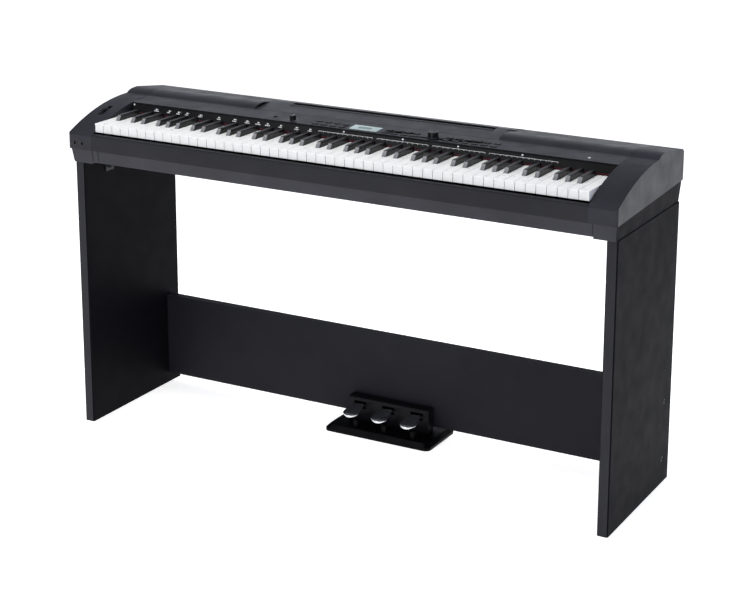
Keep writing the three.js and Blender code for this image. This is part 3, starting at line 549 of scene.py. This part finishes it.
CASE = moulded("case_plastic", (0.0205, 0.0205, 0.025), 0.36, specular=0.36)
BLOCK = moulded("end_block_plastic", (0.0195, 0.0195, 0.0255), 0.4, specular=0.2)
SLIP = moulded("key_slip_plastic", (0.0095, 0.0095, 0.0135), 0.42, specular=0.24)
CASE_LOWER = moulded("lower_case_plastic", (0.0215, 0.0215, 0.0285), 0.44, 1100, 0.03 * MM, specular=0.26)
BOARD = moulded("name_board_plastic", (0.0045, 0.0045, 0.005), 0.3, 500, 0.004 * MM, specular=0.12)
PEDAL_BLACK = moulded("pedal_unit_plastic", (0.0016, 0.0016, 0.0024), 0.32, depth=0.012 * MM, specular=0.06)
PEDAL_HOUSING = moulded("pedal_housing", (0.006, 0.006, 0.0075), 0.34, depth=0.012 * MM, specular=0.12)
GLOSS = moulded("gloss_black_plastic", (0.006, 0.006, 0.007), 0.12, grain=600, depth=0.003 * MM)
BUTTON = moulded("button_rubber", (0.0055, 0.0055, 0.006), 0.34, grain=1800, depth=0.015 * MM)
RUBBER = moulded("foot_rubber", (0.008, 0.008, 0.008), 0.7, grain=900, depth=0.05 * MM)
FRAME_TEAL = moulded("display_frame", (0.36, 0.45, 0.45), 0.28, grain=900, depth=0.006 * MM)
LAMINATE = laminate("black_laminate", (0.0042, 0.0042, 0.0058), 0.035)
# painted light: a paler copy of the black laminate, about three times lighter, to lift the cross panel out
# of the shade it stands in
CROSS_PANEL_LIT_LAMINATE = laminate("cross_panel_laminate_painted_light", (0.0125, 0.0125, 0.0165), 0.12)
EDGE_BAND = laminate("black_edge_band", (0.0165, 0.0165, 0.021), 0.2)
WHITE = white_key_plastic()
BLACK = black_key_plastic()
FELT = felt()
CHROME = plated("pedal_chrome", (0.8, 0.81, 0.83), 0.09)
BRIGHT = plated("contact_nickel", (0.62, 0.6, 0.55), 0.2)
STEEL = dark_steel()
GRILLE = perforated()
WINDOW = display_window()
GREEN = circuit_board()
CONE = speaker_paper()
INK = ink()
LAMP = lamp_lens()


# ---------------------------------------------------------------------- keys


def white_left(index):
    return WHITE_PITCH * index - KEYBOARD_HALF


def letter_of(index):
    return "ABCDEFG"[index % 7]


def black_centre(index):
    """The centre of the black key to the right of a white key, or None."""
    shift = BLACK_SHIFT.get(letter_of(index))
    inside = 0 <= index < WHITE_COUNT - 1
    return None if shift is None or not inside else white_left(index + 1) + shift


def white_outline(index, front, inset):
    """The plan of one white key, cut back beside its black neighbours."""
    left = white_left(index) + KEY_SIDE_GAP / 2 + inset
    right = white_left(index + 1) - KEY_SIDE_GAP / 2 - inset
    before = black_centre(index - 1)
    after = black_centre(index)
    points = [(left, front), (right, front)]
    if after is None:
        points.append((right, WHITE_REAR))
    else:
        neck = after - BLACK_SLOT_HALF - inset
        points += [(right, BLACK_SLOT_FRONT - inset), (neck, BLACK_SLOT_FRONT - inset), (neck, WHITE_REAR)]
    if before is None:
        points.append((left, WHITE_REAR))
    else:
        neck = before + BLACK_SLOT_HALF + inset
        points += [(neck, WHITE_REAR), (neck, BLACK_SLOT_FRONT - inset), (left, BLACK_SLOT_FRONT - inset)]
    return points


def white_key(mesh, index):
    """A cap with its front lip over a slightly smaller key body."""
    cap_low = KEY_TOP - CAP_THICK
    prism(mesh, white_outline(index, WHITE_FRONT, 0.0), cap_low, KEY_TOP)
    prism(mesh, white_outline(index, WHITE_FRONT + CAP_LIP, CAP_SIDE), WHITE_BOTTOM, cap_low - 2 * HAIR)


def white_keys(name, first, last):
    mesh = bmesh.new()
    for index in range(first, last + 1):
        white_key(mesh, index)
    low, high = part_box(name)
    block(mesh, (low.x, high.x), (WHITE_REAR - WHITE_TAIL_LAP, KEY_REAR), (WHITE_BOTTOM, WHITE_TAIL_TOP))
    made = piece(f"{name}_caps", mesh, name, WHITE)
    soften(made, 0.45 * MM, 3, 40)
    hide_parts(name)


def black_station(centre, y, high, top_half):
    """One cross-section of a black key: upright sides that lean in to a rounded top."""
    base = BLACK_WIDTH / 2
    loop = [(centre - base, y, BLACK_BODY_BOTTOM), (centre + base, y, BLACK_BODY_BOTTOM)]
    for side in (1, -1):
        x = centre + side * (top_half - BLACK_SOFT)
        z = high - BLACK_SOFT
        for step in range(BLACK_ROUND_STEPS + 1):
            turn = step / BLACK_ROUND_STEPS if side > 0 else 1 - step / BLACK_ROUND_STEPS
            angle = math.radians(90) * turn
            loop.append((x + side * BLACK_SOFT * math.cos(angle), y, z + BLACK_SOFT * math.sin(angle)))
    return loop


def black_cap(mesh, centre):
    """A tapered cap with a flat sloping nose and an eased rear edge."""
    base = BLACK_WIDTH / 2
    bend = BLACK_NOSE_BEND
    nose = [(0.0, 0.0), (1 - bend, 1 - bend), (1.0, 1 - bend * 0.35), (1 + 2 * bend, 1.0)]
    stations = []
    for share, climb in nose:
        high = BLACK_NOSE_FOOT + (BLACK_TOP - BLACK_NOSE_FOOT) * climb
        half = base + (BLACK_TOP_HALF - base) * climb
        stations.append(black_station(centre, BLACK_FRONT + BLACK_NOSE * share, high, half))
    length, drop = BLACK_REAR_EASE
    stations.append(black_station(centre, BLACK_CAP_REAR - length, BLACK_TOP, BLACK_TOP_HALF))
    stations.append(black_station(centre, BLACK_CAP_REAR, BLACK_TOP - drop, BLACK_TOP_HALF - drop / 2))
    skin(mesh, stations)


def black_key(mesh, centre):
    """A cap on a stem that runs back to the tail bar."""
    black_cap(mesh, centre)
    tail = (centre - BLACK_WIDTH / 2, centre + BLACK_WIDTH / 2)
    block(mesh, tail, (BLACK_CAP_REAR + HAIR, BLACK_BODY_REAR), (BLACK_BODY_BOTTOM, BLACK_TAIL[1]))
    block(mesh, tail, (BLACK_BODY_REAR + HAIR, KEY_REAR), BLACK_TAIL)


def black_keys(name, centres):
    mesh = bmesh.new()
    for centre in centres:
        black_key(mesh, centre)
    for left, right in zip(centres, centres[1:]):
        gap = (left + BLACK_WIDTH / 2 + HAIR, right - BLACK_WIDTH / 2 - HAIR)
        block(mesh, gap, (BLACK_BAR_FRONT, KEY_REAR), BLACK_TAIL)
    made = piece(f"{name}_caps", mesh, name, BLACK)
    soften(made, 0.3 * MM, 2, 50)
    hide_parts(name)


def first_white(octave):
    """The index of an octave's C among the white keys. Below the first C are an A and a B."""
    return 2 + 7 * (octave - 1)


def keyboard():
    """One octave key by key, and the others as combs. The lowest comb takes in the A and the B."""
    for index in range(first_white(SINGLE_OCTAVE), first_white(SINGLE_OCTAVE + 1)):
        letter = letter_of(index).lower()
        white_keys(f"white_key_{letter}{SINGLE_OCTAVE}", index, index)
        if black_centre(index) is not None:
            black_keys(f"black_key_{letter}_sharp{SINGLE_OCTAVE}", [black_centre(index)])
    for octave in range(1, OCTAVES + 1):
        if octave == SINGLE_OCTAVE:
            continue
        first = 0 if octave == 1 else first_white(octave)
        last = WHITE_COUNT - 1 if octave == OCTAVES else first_white(octave + 1) - 1
        white_keys(f"white_keys_octave_{octave}", first, last)
        centres = [black_centre(i) for i in range(first, last + 1) if black_centre(i) is not None]
        black_keys(f"black_keys_octave_{octave}", centres)


def squared_off(value):
    """Turns the sine or cosine of a circle into that of a rounded square."""
    return math.copysign(abs(value) ** 0.55, value)


def felt_section(x, low, high, swell):
    """One cross-section of the felt: a rounded rectangle that swells a little."""
    middle_y = (low.y + high.y) / 2
    middle_z = (low.z + high.z) / 2
    half_y = (high.y - low.y) / 2 + swell
    half_z = (high.z - low.z) / 2 + swell / 2
    loop = []
    for i in range(FELT_SIDES):
        angle = 2 * math.pi * i / FELT_SIDES
        across = half_y * squared_off(math.cos(angle))
        loop.append((x, middle_y + across, middle_z + half_z * squared_off(math.sin(angle))))
    return loop


def felt_strip():
    """The felt under the name board, with a lumpy pressed edge."""
    low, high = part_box("felt_strip")
    draw = random.Random(3)
    loops = []
    for step in range(FELT_STEPS + 1):
        x = low.x + (high.x - low.x) * step / FELT_STEPS
        loops.append(felt_section(x, low, high, draw.uniform(-0.15, 0.1) * MM))
    mesh = bmesh.new()
    skin(mesh, loops)
    made = piece("pressed_felt_strip", mesh, ROOT, FELT)
    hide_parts("felt_strip")


# ------------------------------------------------------------------ controls


def volume_knob():
    """A ribbed knob with a dished top and a pointer line."""
    low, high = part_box("volume_knob")
    radius = (high.x - low.x) / 2
    top = VOLUME_HEIGHT

    def ripple(angle, height):
        ribbed = 1.2 * MM < height < top - 1.2 * MM
        return 1 + (VOLUME_RIB_DEPTH * math.cos(VOLUME_RIBS * angle) if ribbed else 0)

    rows = KNOB_SHAFT + [
        (radius * 0.98, 0.4 * MM), (radius * 0.98, 1.1 * MM), (radius * 0.955, 1.7 * MM),
        (radius * 0.93, top - 1.7 * MM), (radius * 0.95, top - 1.1 * MM), (radius * 0.93, top - 0.4 * MM),
        (radius * 0.86, top), (radius * 0.78, top), (radius * 0.7, top - 0.35 * MM),
        (0.2 * MM, top - 0.5 * MM),
    ]
    mesh = bmesh.new()
    turned(mesh, rows, panel_place(*VOLUME), 6 * VOLUME_RIBS, ripple)
    made = piece("ribbed_volume_knob", mesh, "volume_knob", GLOSS)
    soften(made, 0.12 * MM, 1, 40)
    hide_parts("volume_knob")
    line = bmesh.new()
    block(line, (-0.4 * MM, 0.4 * MM), (radius * 0.25, radius * 0.9), (top - 0.3 * MM, top + 0.12 * MM))
    line.transform(panel_place(*VOLUME))
    piece("volume_pointer", line, "volume_knob", INK, smooth=False)


def data_dial():
    """A tall glossy dial with a fine milled skirt and a finger dimple."""
    low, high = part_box("data_dial")
    radius = (high.x - low.x) / 2
    top = DIAL_HEIGHT
    place = panel_place(*DIAL)

    def ripple(angle, height):
        milled = 0.9 * MM < height < 3.2 * MM
        return 1 + (DIAL_TOOTH_DEPTH * math.cos(DIAL_TEETH * angle) if milled else 0)

    rows = KNOB_SHAFT + [
        (radius * 0.975, 0.4 * MM), (radius * 0.985, 1 * MM), (radius * 0.98, 3 * MM),
        (radius * 0.95, 3.6 * MM), (radius * 0.935, top - 1.3 * MM), (radius * 0.915, top - 0.6 * MM),
        (radius * 0.87, top - 0.12 * MM), (radius * 0.82, top), (radius * 0.4, top - 0.1 * MM),
        (0.2 * MM, top - 0.15 * MM),
    ]
    mesh = bmesh.new()
    turned(mesh, rows, place, 4 * DIAL_TEETH, ripple)
    made = piece("milled_data_dial", mesh, "data_dial", GLOSS)
    soften(made, 0.12 * MM, 1, 50)
    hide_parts("data_dial")
    dimple = bmesh.new()
    dent = place @ Matrix.Translation((0, 6 * MM, top - 0.1 * MM))
    ring(dimple, 2.6 * MM, 3.3 * MM, -0.2 * MM, 0.35 * MM, dent)
    piece("data_dial_dimple_rim", dimple, "data_dial", GLOSS)


def volume_scale():
    """Printed ticks round the volume knob, longer towards the loud end."""
    mesh = bmesh.new()
    for step in range(SCALE_MARKS):
        angle = math.radians(-140 + 28 * step)
        length = (1.6 + 0.14 * step) * MM
        mark = bmesh.new()
        block(mark, (-0.35 * MM, 0.35 * MM), (SCALE_RADIUS, SCALE_RADIUS + length), (0.04 * MM, 0.1 * MM))
        mark.transform(panel_place(*VOLUME) @ Matrix.Rotation(-angle, 4, "Z"))
        join(mesh, mark)
    piece("volume_scale_print", mesh, ROOT, INK, smooth=False)


def join(mesh, other):
    """Moves the faces of another bmesh into this one."""
    twins = [mesh.verts.new(v.co) for v in other.verts]
    other.verts.index_update()
    for face in other.faces:
        mesh.faces.new([twins[v.index] for v in face.verts])
    other.free()


def board_mark(mesh, x0, x1, row):
    """A printed bar on the name board, across one row of print."""
    mark = bmesh.new()
    block(mark, (x0, x1), row, INK_LIFT)
    mark.transform(board_place(0, 0))
    join(mesh, mark)


def legend(mesh, x, draw):
    """A small sign over a broken bar. It stands for print and spells nothing."""
    sign = draw.uniform(2.2, 3.8) * MM
    board_mark(mesh, x - sign, x + sign * 0.4, SIGN_ROW)
    board_mark(mesh, x + sign * 0.7, x + sign * 1.2, DOT_ROW)
    left = x - draw.uniform(5, 7) * MM
    for _ in range(draw.randint(3, 4)):
        length = draw.uniform(1.6, 3.4) * MM
        board_mark(mesh, left, left + length, WORD_ROW)
        left += length + 0.8 * MM


def ruled_scale(mesh, first, last):
    """A ruled line with evenly spaced ticks below it."""
    board_mark(mesh, first, last, SCALE_LINE_ROW)
    steps = max(2, round((last - first) / TICK_PITCH))
    for step in range(steps + 1):
        x = first + (last - first) * step / steps
        board_mark(mesh, x - TICK_HALF, x + TICK_HALF, TICK_ROW)


def board_print():
    """Generic legends over the bass keys, and ruled scales over the rest."""
    mesh = bmesh.new()
    draw = random.Random(11)
    for x in LEGEND_X:
        legend(mesh, x * MM, draw)
    for first, last in SCALE_SPANS:
        ruled_scale(mesh, first * MM, last * MM)
    piece("name_board_print", mesh, ROOT, INK, smooth=False)


def panel_seam_and_crease_shade():
    """Fine dark lines: a slanted seam beside the middle controls, and painted shade along the crease behind
    them.
    """
    mesh = bmesh.new()
    for (x0, y0), (x1, y1) in PANEL_SEAM_AND_CREASE_SHADE:
        start = Vector((x0 * MM, y0 * MM, 0))
        along = Vector((x1 * MM, y1 * MM, 0)) - start
        bar = bmesh.new()
        block(bar, (0, along.length), (-LINE_HALF, LINE_HALF), LINE_LIFT)
        bar.transform(Matrix.Translation(start) @ along.to_track_quat("X", "Z").to_matrix().to_4x4())
        bar.transform(panel_place(0, 0))
        join(mesh, bar)
    # the long line is painted shade: a flat dark strip where the panel creases up into the humps
    piece("control_seam_and_crease_shade", mesh, ROOT, BOARD, smooth=False)


def lamps():
    """Domed status lamps: small ones on the name board, and the larger power lamp on the panel."""
    mesh = bmesh.new()
    for x in BOARD_LAMPS:
        lamp_dome(mesh, board_place(x * MM, BOARD_LAMP_UP), BOARD_LAMP_RADIUS)
    lamp_dome(mesh, panel_place(*POWER_LAMP), POWER_LAMP_RADIUS)
    piece("panel_lamps", mesh, ROOT, LAMP)


def lamp_dome(mesh, place, radius):
    profile = [
        (radius, 0.02 * MM), (radius, 0.2 * MM), (radius * 0.8, 0.45 * MM), (radius * 0.4, 0.6 * MM),
        (0.1 * MM, 0.65 * MM),
    ]
    turned(mesh, profile, place, 24)


def display_glass():
    """The liquid crystal window, sunk in its frame."""
    mesh = bmesh.new()
    (x0, x1), (y0, y1) = DISPLAY_GLASS
    block(mesh, (x0 * MM, x1 * MM), (y0 * MM, y1 * MM), (0.25 * MM, 0.6 * MM))
    mesh.transform(panel_place(0, 0))
    made = piece("display_glass", mesh, ROOT, WINDOW)
    soften(made, 0.1 * MM, 1)


# -------------------------------------------------------------------- pedals


def pedal_half(y):
    """Half of a pedal's width: a rounded toe, then a smooth blend into the arm."""
    round_from = PEDAL_TIP + PEDAL_TOE_ROUND
    if y < round_from:
        half = PEDAL_TOE_HALF * math.sqrt(max(0.0, 1 - ((round_from - y) / PEDAL_TOE_ROUND) ** 2))
        return max(half, 0.8 * MM)
    blend = min(1.0, (y - round_from) / (PEDAL_ARM_START - round_from))
    return PEDAL_TOE_HALF + (PEDAL_ARM_HALF - PEDAL_TOE_HALF) * (3 * blend ** 2 - 2 * blend ** 3)


def pedal_faces(y):
    """The heights of a pedal's under and upper face, which close in towards the tip."""
    along = (y - PEDAL_TIP) / (PEDAL_PIVOT[0] - PEDAL_TIP)
    eased = (1 - min(1.0, (y - PEDAL_TIP) / PEDAL_EASE)) ** 3
    low = PEDAL_UNDER[0] + PEDAL_UNDER[1] * along + 0.4 * MM * eased
    high = PEDAL_UPPER[0] + PEDAL_UPPER[1] * along - 1.2 * MM * eased
    return low, high


def pedal(name, centre):
    """A cast pedal: a narrow arm that spreads to a rounded toe, with a sleeve on the axle."""
    start = PEDAL_TIP + 0.25 * MM
    length = PEDAL_PIVOT[0] + 2.6 * MM - PEDAL_TIP
    loops = []
    for step in range(PEDAL_STATIONS + 1):
        y = start + length * (step / PEDAL_STATIONS) ** 1.6  # the stations crowd towards the tip
        loops.append(pedal_station(centre, y, pedal_half(y), *pedal_faces(y)))
    mesh = bmesh.new()
    skin(mesh, loops)
    made = piece(f"{name}_casting", mesh, name, CHROME)
    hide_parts(name)
    sleeve = bmesh.new()
    turn = Matrix.Rotation(math.pi / 2, 4, "Y")
    ring(sleeve, *SLEEVE, Matrix.Translation((centre, *PEDAL_PIVOT)) @ turn)
    piece(f"{name}_sleeve", sleeve, name, STEEL)


def pedal_station(centre, y, half, low, top):
    """One cross-section of a pedal: rounded upper edges and a flat underside."""
    soft = min(2.4 * MM, half * 0.8, (top - low) * 0.45)
    loop = [(centre - half + soft, y, low), (centre + half - soft, y, low)]
    for side in (1, -1):
        for step in range(PEDAL_ROUND_STEPS + 1):
            turn = step / PEDAL_ROUND_STEPS if side > 0 else 1 - step / PEDAL_ROUND_STEPS
            angle = math.radians(-60 + 150 * turn)
            reach = half - soft + soft * math.cos(angle)
            height = top - soft + soft * math.sin(angle)
            loop.append((centre + side * reach, y, max(height, low + 0.4 * MM)))
    return loop


# ------------------------------------------------------------- small fittings


def screw_heads():
    """Round heads with a hexagon socket, over the shanks of the panel screws."""
    for side, sign in (("left", -1), ("right", 1)):
        for level, height in SCREW_HEIGHTS.items():
            name = f"panel_screw_{side}_{level}"
            mesh = bmesh.new()
            place = facing((sign * (PANEL_OUTER - 0.5 * MM), SCREW_Y, height), (sign, 0, 0))
            socket_screw(mesh, place)
            made = piece(f"{name}_socket_head", mesh, ROOT, STEEL)
            soften(made, 0.2 * MM, 2, 40)
            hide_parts(name)


def hexagon_reach(across, angle):
    """The distance from a hexagon's centre to its rim, where its corners are at a given distance."""
    corner = math.radians(30)
    return across * math.cos(corner) / math.cos((angle % (2 * corner)) - corner)


def socket_screw(mesh, place):
    """A screw from its point to the floor of its hexagon socket."""
    head = SCREW_HEAD
    rows = [
        (0.4 * MM, -SCREW_LENGTH), (SCREW_SHANK, -SCREW_LENGTH + 3 * MM), (SCREW_SHANK, -SCREW_HEAD_THICK),
        (head, -SCREW_HEAD_THICK), (head, -0.9 * MM), (head * 0.93, -0.25 * MM), (head * 0.82, 0.0),
    ]
    turns = [2 * math.pi * i / SCREW_SIDES for i in range(SCREW_SIDES)]
    loops = []
    for radius, height in rows:
        loops.append([place @ Vector((radius * math.cos(a), radius * math.sin(a), height)) for a in turns])
    for height in (0.0, -2.2 * MM):
        loop = []
        for a in turns:
            reach = hexagon_reach(head * 0.52, a)
            loop.append(place @ Vector((reach * math.cos(a), reach * math.sin(a), height)))
        loops.append(loop)
    skin(mesh, loops)


def thumb_screws():
    """Knurled screws that hold the angle brackets, one through each arm of the bracket."""
    for name in ("fixing_bracket_left", "fixing_bracket_right"):
        low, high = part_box(name)
        sign = 1 if low.x > 0 else -1
        middle_y = (low.y + high.y) / 2
        mesh = bmesh.new()
        arm = sign * (abs(low.x + high.x) / 2 - THUMB_FROM_EDGE)
        knurled(mesh, facing((arm, middle_y, high.z - BRACKET_SKIN), (0, 0, -1)))
        wall = (high.x if sign > 0 else -low.x) - BRACKET_SKIN
        knurled(mesh, facing((sign * wall, middle_y, low.z + THUMB_UP), (-sign, 0, 0)))
        made = piece(f"{name}_thumb_screws", mesh, ROOT, STEEL)
        soften(made, 0.15 * MM, 1, 45)


def knurl(angle, height):
    return 1 + 0.03 * math.cos(24 * angle)


def knurled(mesh, place):
    """One thumb screw: a knurled head with a plain tip."""
    rows = [
        (7 * MM, 0.05 * MM), (7.6 * MM, 0.7 * MM), (7.6 * MM, 6.4 * MM), (7 * MM, 7.2 * MM),
        (4.6 * MM, 7.4 * MM), (4.2 * MM, 10.4 * MM), (3.4 * MM, 11 * MM),
    ]
    turned(mesh, rows, place, 96, knurl)


def rubber_feet():
    """Moulded feet under the piano's floor."""
    mesh = bmesh.new()
    rows = [
        (9 * MM, 0.02 * MM), (9 * MM, 1.2 * MM), (8.2 * MM, 3.6 * MM), (7.4 * MM, 4.1 * MM),
        (5 * MM, 4.1 * MM), (4.4 * MM, 3.4 * MM), (0.3 * MM, 3.4 * MM),
    ]
    for x, y in FEET:
        turned(mesh, rows, facing((x * MM, y * MM, BASE_MIDDLE), (0, 0, -1)), 32)
    made = piece("casing_rubber_feet", mesh, ROOT, RUBBER)
    soften(made, 0.25 * MM, 2, 40)


def sockets():
    """Bezels round the headphone sockets at the front and the round sockets at the rear."""
    front = bmesh.new()
    for x, z in HEADPHONES:
        ring(front, *HEADPHONE_RING, facing((x, CASE_FRONT, z), (0, -1, 0)))
    piece("headphone_bezels", front, ROOT, GLOSS)
    rear = bmesh.new()
    for x in REAR_SOCKETS:
        ring(rear, *REAR_RING, facing((x, BASE_REAR, REAR_SOCKET_Z), (0, 1, 0)))
    piece("rear_socket_bezels", rear, ROOT, BRIGHT)


def edge_bands():
    """Banding glued along the front edges of the two stand panels."""
    mesh = bmesh.new()
    for sign in (-1, 1):
        outer = sign * (PANEL_OUTER - BAND_INSET)
        inner = sign * (PANEL_OUTER - PANEL_THICK + BAND_INSET)
        depth = (STAND_FRONT - BAND_THICK, STAND_FRONT - 2 * HAIR)
        block(mesh, sorted((outer, inner)), depth, (BAND_END, STAND_HEIGHT - BAND_END))
    made = piece("stand_edge_bands", mesh, ROOT, EDGE_BAND)
    soften(made, 0.15 * MM, 2, 40)


def side_shadow_sheets():
    """Painted shadow: dark sheets on the two sloping sides of the lower casing, where the end blocks cast
    their shade.
    """
    mesh = bmesh.new()
    for sign in (-1, 1):
        loops = []
        for lift in (0.04 * MM, SIDE_SHADOW_THICK):
            loops.append([
                (sign * (BASE_HALF + (z * MM - BASE_LOW) * BASE_LEAN + lift), y * MM, z * MM)
                for y, z in SIDE_SHADOW_OUTLINE
            ])
        skin(mesh, loops)
    # painted shadow: dark laminate in place of the shade under the end blocks
    made = piece("lower_case_side_painted_shadow", mesh, ROOT, LAMINATE)
    soften(made, 0.12 * MM, 2, 40)


def dress_nodes():
    """Gives every CAD node that stays its material and its softened edges."""
    finishes = {
        "top_cover": (CASE, 0.5), "key_slip": (SLIP, 0.2), "end_block_left": (BLOCK, 0.3),
        "end_block_right": (BLOCK, 0.3), "bottom_case": (CASE_LOWER, 0.4), "name_board": (BOARD, 0.3),
        "display": (FRAME_TEAL, 0.3), "speaker_grille_left": (GRILLE, 0.2),
        "speaker_grille_right": (GRILLE, 0.2), "speaker_left": (CONE, 0.3), "speaker_right": (CONE, 0.3),
        "style_buttons": (BUTTON, 0.35), "menu_buttons": (BUTTON, 0.35), "voice_buttons": (BUTTON, 0.35),
        "power_button": (BUTTON, 0.2), "pitch_wheel": (GLOSS, 0.5), "key_bed": (STEEL, 0.5),
        "main_board": (GREEN, 0.1), "pedal_base": (PEDAL_BLACK, 0.8), "pedal_box": (PEDAL_HOUSING, 0.8),
        "pedal_axle": (STEEL, 0.3), "fixing_bracket_left": (STEEL, 0.4),
        "fixing_bracket_right": (STEEL, 0.4), "side_panel_left": (LAMINATE, 0.6),
        "side_panel_right": (LAMINATE, 0.6), "cross_panel": (CROSS_PANEL_LIT_LAMINATE, 0.8),
    }
    for name, (material, width) in finishes.items():
        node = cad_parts[name]
        node.data.materials.clear()
        node.data.materials.append(material)
        for polygon in node.data.polygons:
            polygon.use_smooth = True
        soften(node, width * MM, 2, 28, dissolve=True)


# ------------------------------------------------------------ stage and light


def floor():
    """A pale plain floor that glows a little, so that it meets the background without a line."""
    mesh = bpy.data.meshes.new("floor")
    half = FLOOR_HALF
    corners = [(-half, -half, 0), (half, -half, 0), (half, half, 0), (-half, half, 0)]
    mesh.from_pydata(corners, [], [(0, 1, 2, 3)])
    made = bpy.data.objects.new("floor", mesh)
    bpy.context.scene.collection.objects.link(made)
    made.location.z = -FLOOR_DROP
    surface = Surface("pale_floor", (0.93, 0.93, 0.93), 0.9, specular=0.0)
    surface.shader.inputs["Emission Color"].default_value = (1, 1, 1, 1)
    surface.shader.inputs["Emission Strength"].default_value = FLOOR_GLOW
    mesh.materials.append(surface.material)


def softbox(name, place, target, size, power, mirrored=True, colour=(1, 1, 1)):
    """A rectangular lamp that faces a target, seen in reflections only where mirrored."""
    data = bpy.data.lights.new(name, "AREA")
    data.shape = "RECTANGLE"
    data.size, data.size_y = size
    data.energy = power
    data.color = colour
    lamp = bpy.data.objects.new(name, data)
    bpy.context.scene.collection.objects.link(lamp)
    lamp.location = place
    lamp.visible_glossy = mirrored
    lamp.rotation_mode = "QUATERNION"
    lamp.rotation_quaternion = (Vector(target) - Vector(place)).to_track_quat("-Z", "Y")


def studio_world():
    """A bright horizon under a dark ceiling, blended by the height of the direction."""
    world = bpy.data.worlds.new("studio")
    world.use_nodes = True
    tree = world.node_tree
    background = tree.nodes["Background"]
    background.inputs["Color"].default_value = (0.92, 0.95, 1.04, 1)
    direction = tree.nodes.new("ShaderNodeTexCoord").outputs["Generated"]
    split = tree.nodes.new("ShaderNodeSeparateXYZ")
    tree.links.new(direction, split.inputs["Vector"])
    fall = tree.nodes.new("ShaderNodeMapRange")
    fall.interpolation_type = "SMOOTHSTEP"
    tree.links.new(split.outputs["Z"], fall.inputs["Value"])
    fall.inputs["From Min"].default_value = 0.0
    fall.inputs["From Max"].default_value = CEILING_FROM
    fall.inputs["To Min"].default_value = HORIZON_LIGHT
    fall.inputs["To Max"].default_value = CEILING_LIGHT
    tree.links.new(fall.outputs["Result"], background.inputs["Strength"])
    bpy.context.scene.world = world


def soft_boxes():
    """The lamps. All but the one for the key noses stay out of reflections."""
    softbox("overhead", (-0.3, 0.2, 3.4), (0, 0, 0.6), (3.4, 2.0), 84, mirrored=False)
    softbox("front", (-0.6, -3.4, 2.0), (0, 0, 0.6), (2.4, 1.6), 24, mirrored=False)
    softbox("nose_light", (-1.5, -1.9, 3.2), (0, 0, 0.74), (1.6, 1.2), 16)
    cool = (0.74, 0.83, 1.2)
    softbox("right_side", (3.4, -0.4, 1.3), (0.4, 0, 0.6), (1.4, 2.2), 14, mirrored=False, colour=cool)


def camera():
    """The camera of the reference view, solved from the stand's and keyboard's straight edges."""
    frame_width, frame_height = 754, 606
    focal_pixels = 1795.2
    centre_x, centre_y = 455.0, 165.0
    azimuth, elevation, roll = 0.4651, 0.2446, 0.0135
    place = Vector((1.9189, -3.3801, 1.6487))
    data = bpy.data.cameras.new("camera")
    data.sensor_width = 36.0
    data.lens = focal_pixels * data.sensor_width / frame_width
    data.shift_x = (frame_width / 2 - centre_x) / frame_width
    data.shift_y = (centre_y - frame_height / 2) / frame_width
    made = bpy.data.objects.new("camera", data)
    bpy.context.scene.collection.objects.link(made)
    back = Vector((
        math.sin(azimuth) * math.cos(elevation),
        -math.cos(azimuth) * math.cos(elevation),
        math.sin(elevation),
    ))
    made.rotation_mode = "QUATERNION"
    tilt = Matrix.Rotation(roll, 4, "Z").to_quaternion()
    made.rotation_quaternion = (-back).to_track_quat("-Z", "Y") @ tilt
    made.location = place
    bpy.context.scene.camera = made


# ------------------------------------------------------------------ assembly

camera()
studio_world()
soft_boxes()
floor()
bpy.context.scene.view_settings.view_transform = "Standard"
dress_nodes()
keyboard()
felt_strip()
volume_knob()
data_dial()
volume_scale()
board_print()
panel_seam_and_crease_shade()
lamps()
display_glass()
for pedal_name, pedal_x in PEDAL_X.items():
    pedal(pedal_name, pedal_x)
screw_heads()
thumb_screws()
rubber_feet()
sockets()
edge_bands()
side_shadow_sheets()
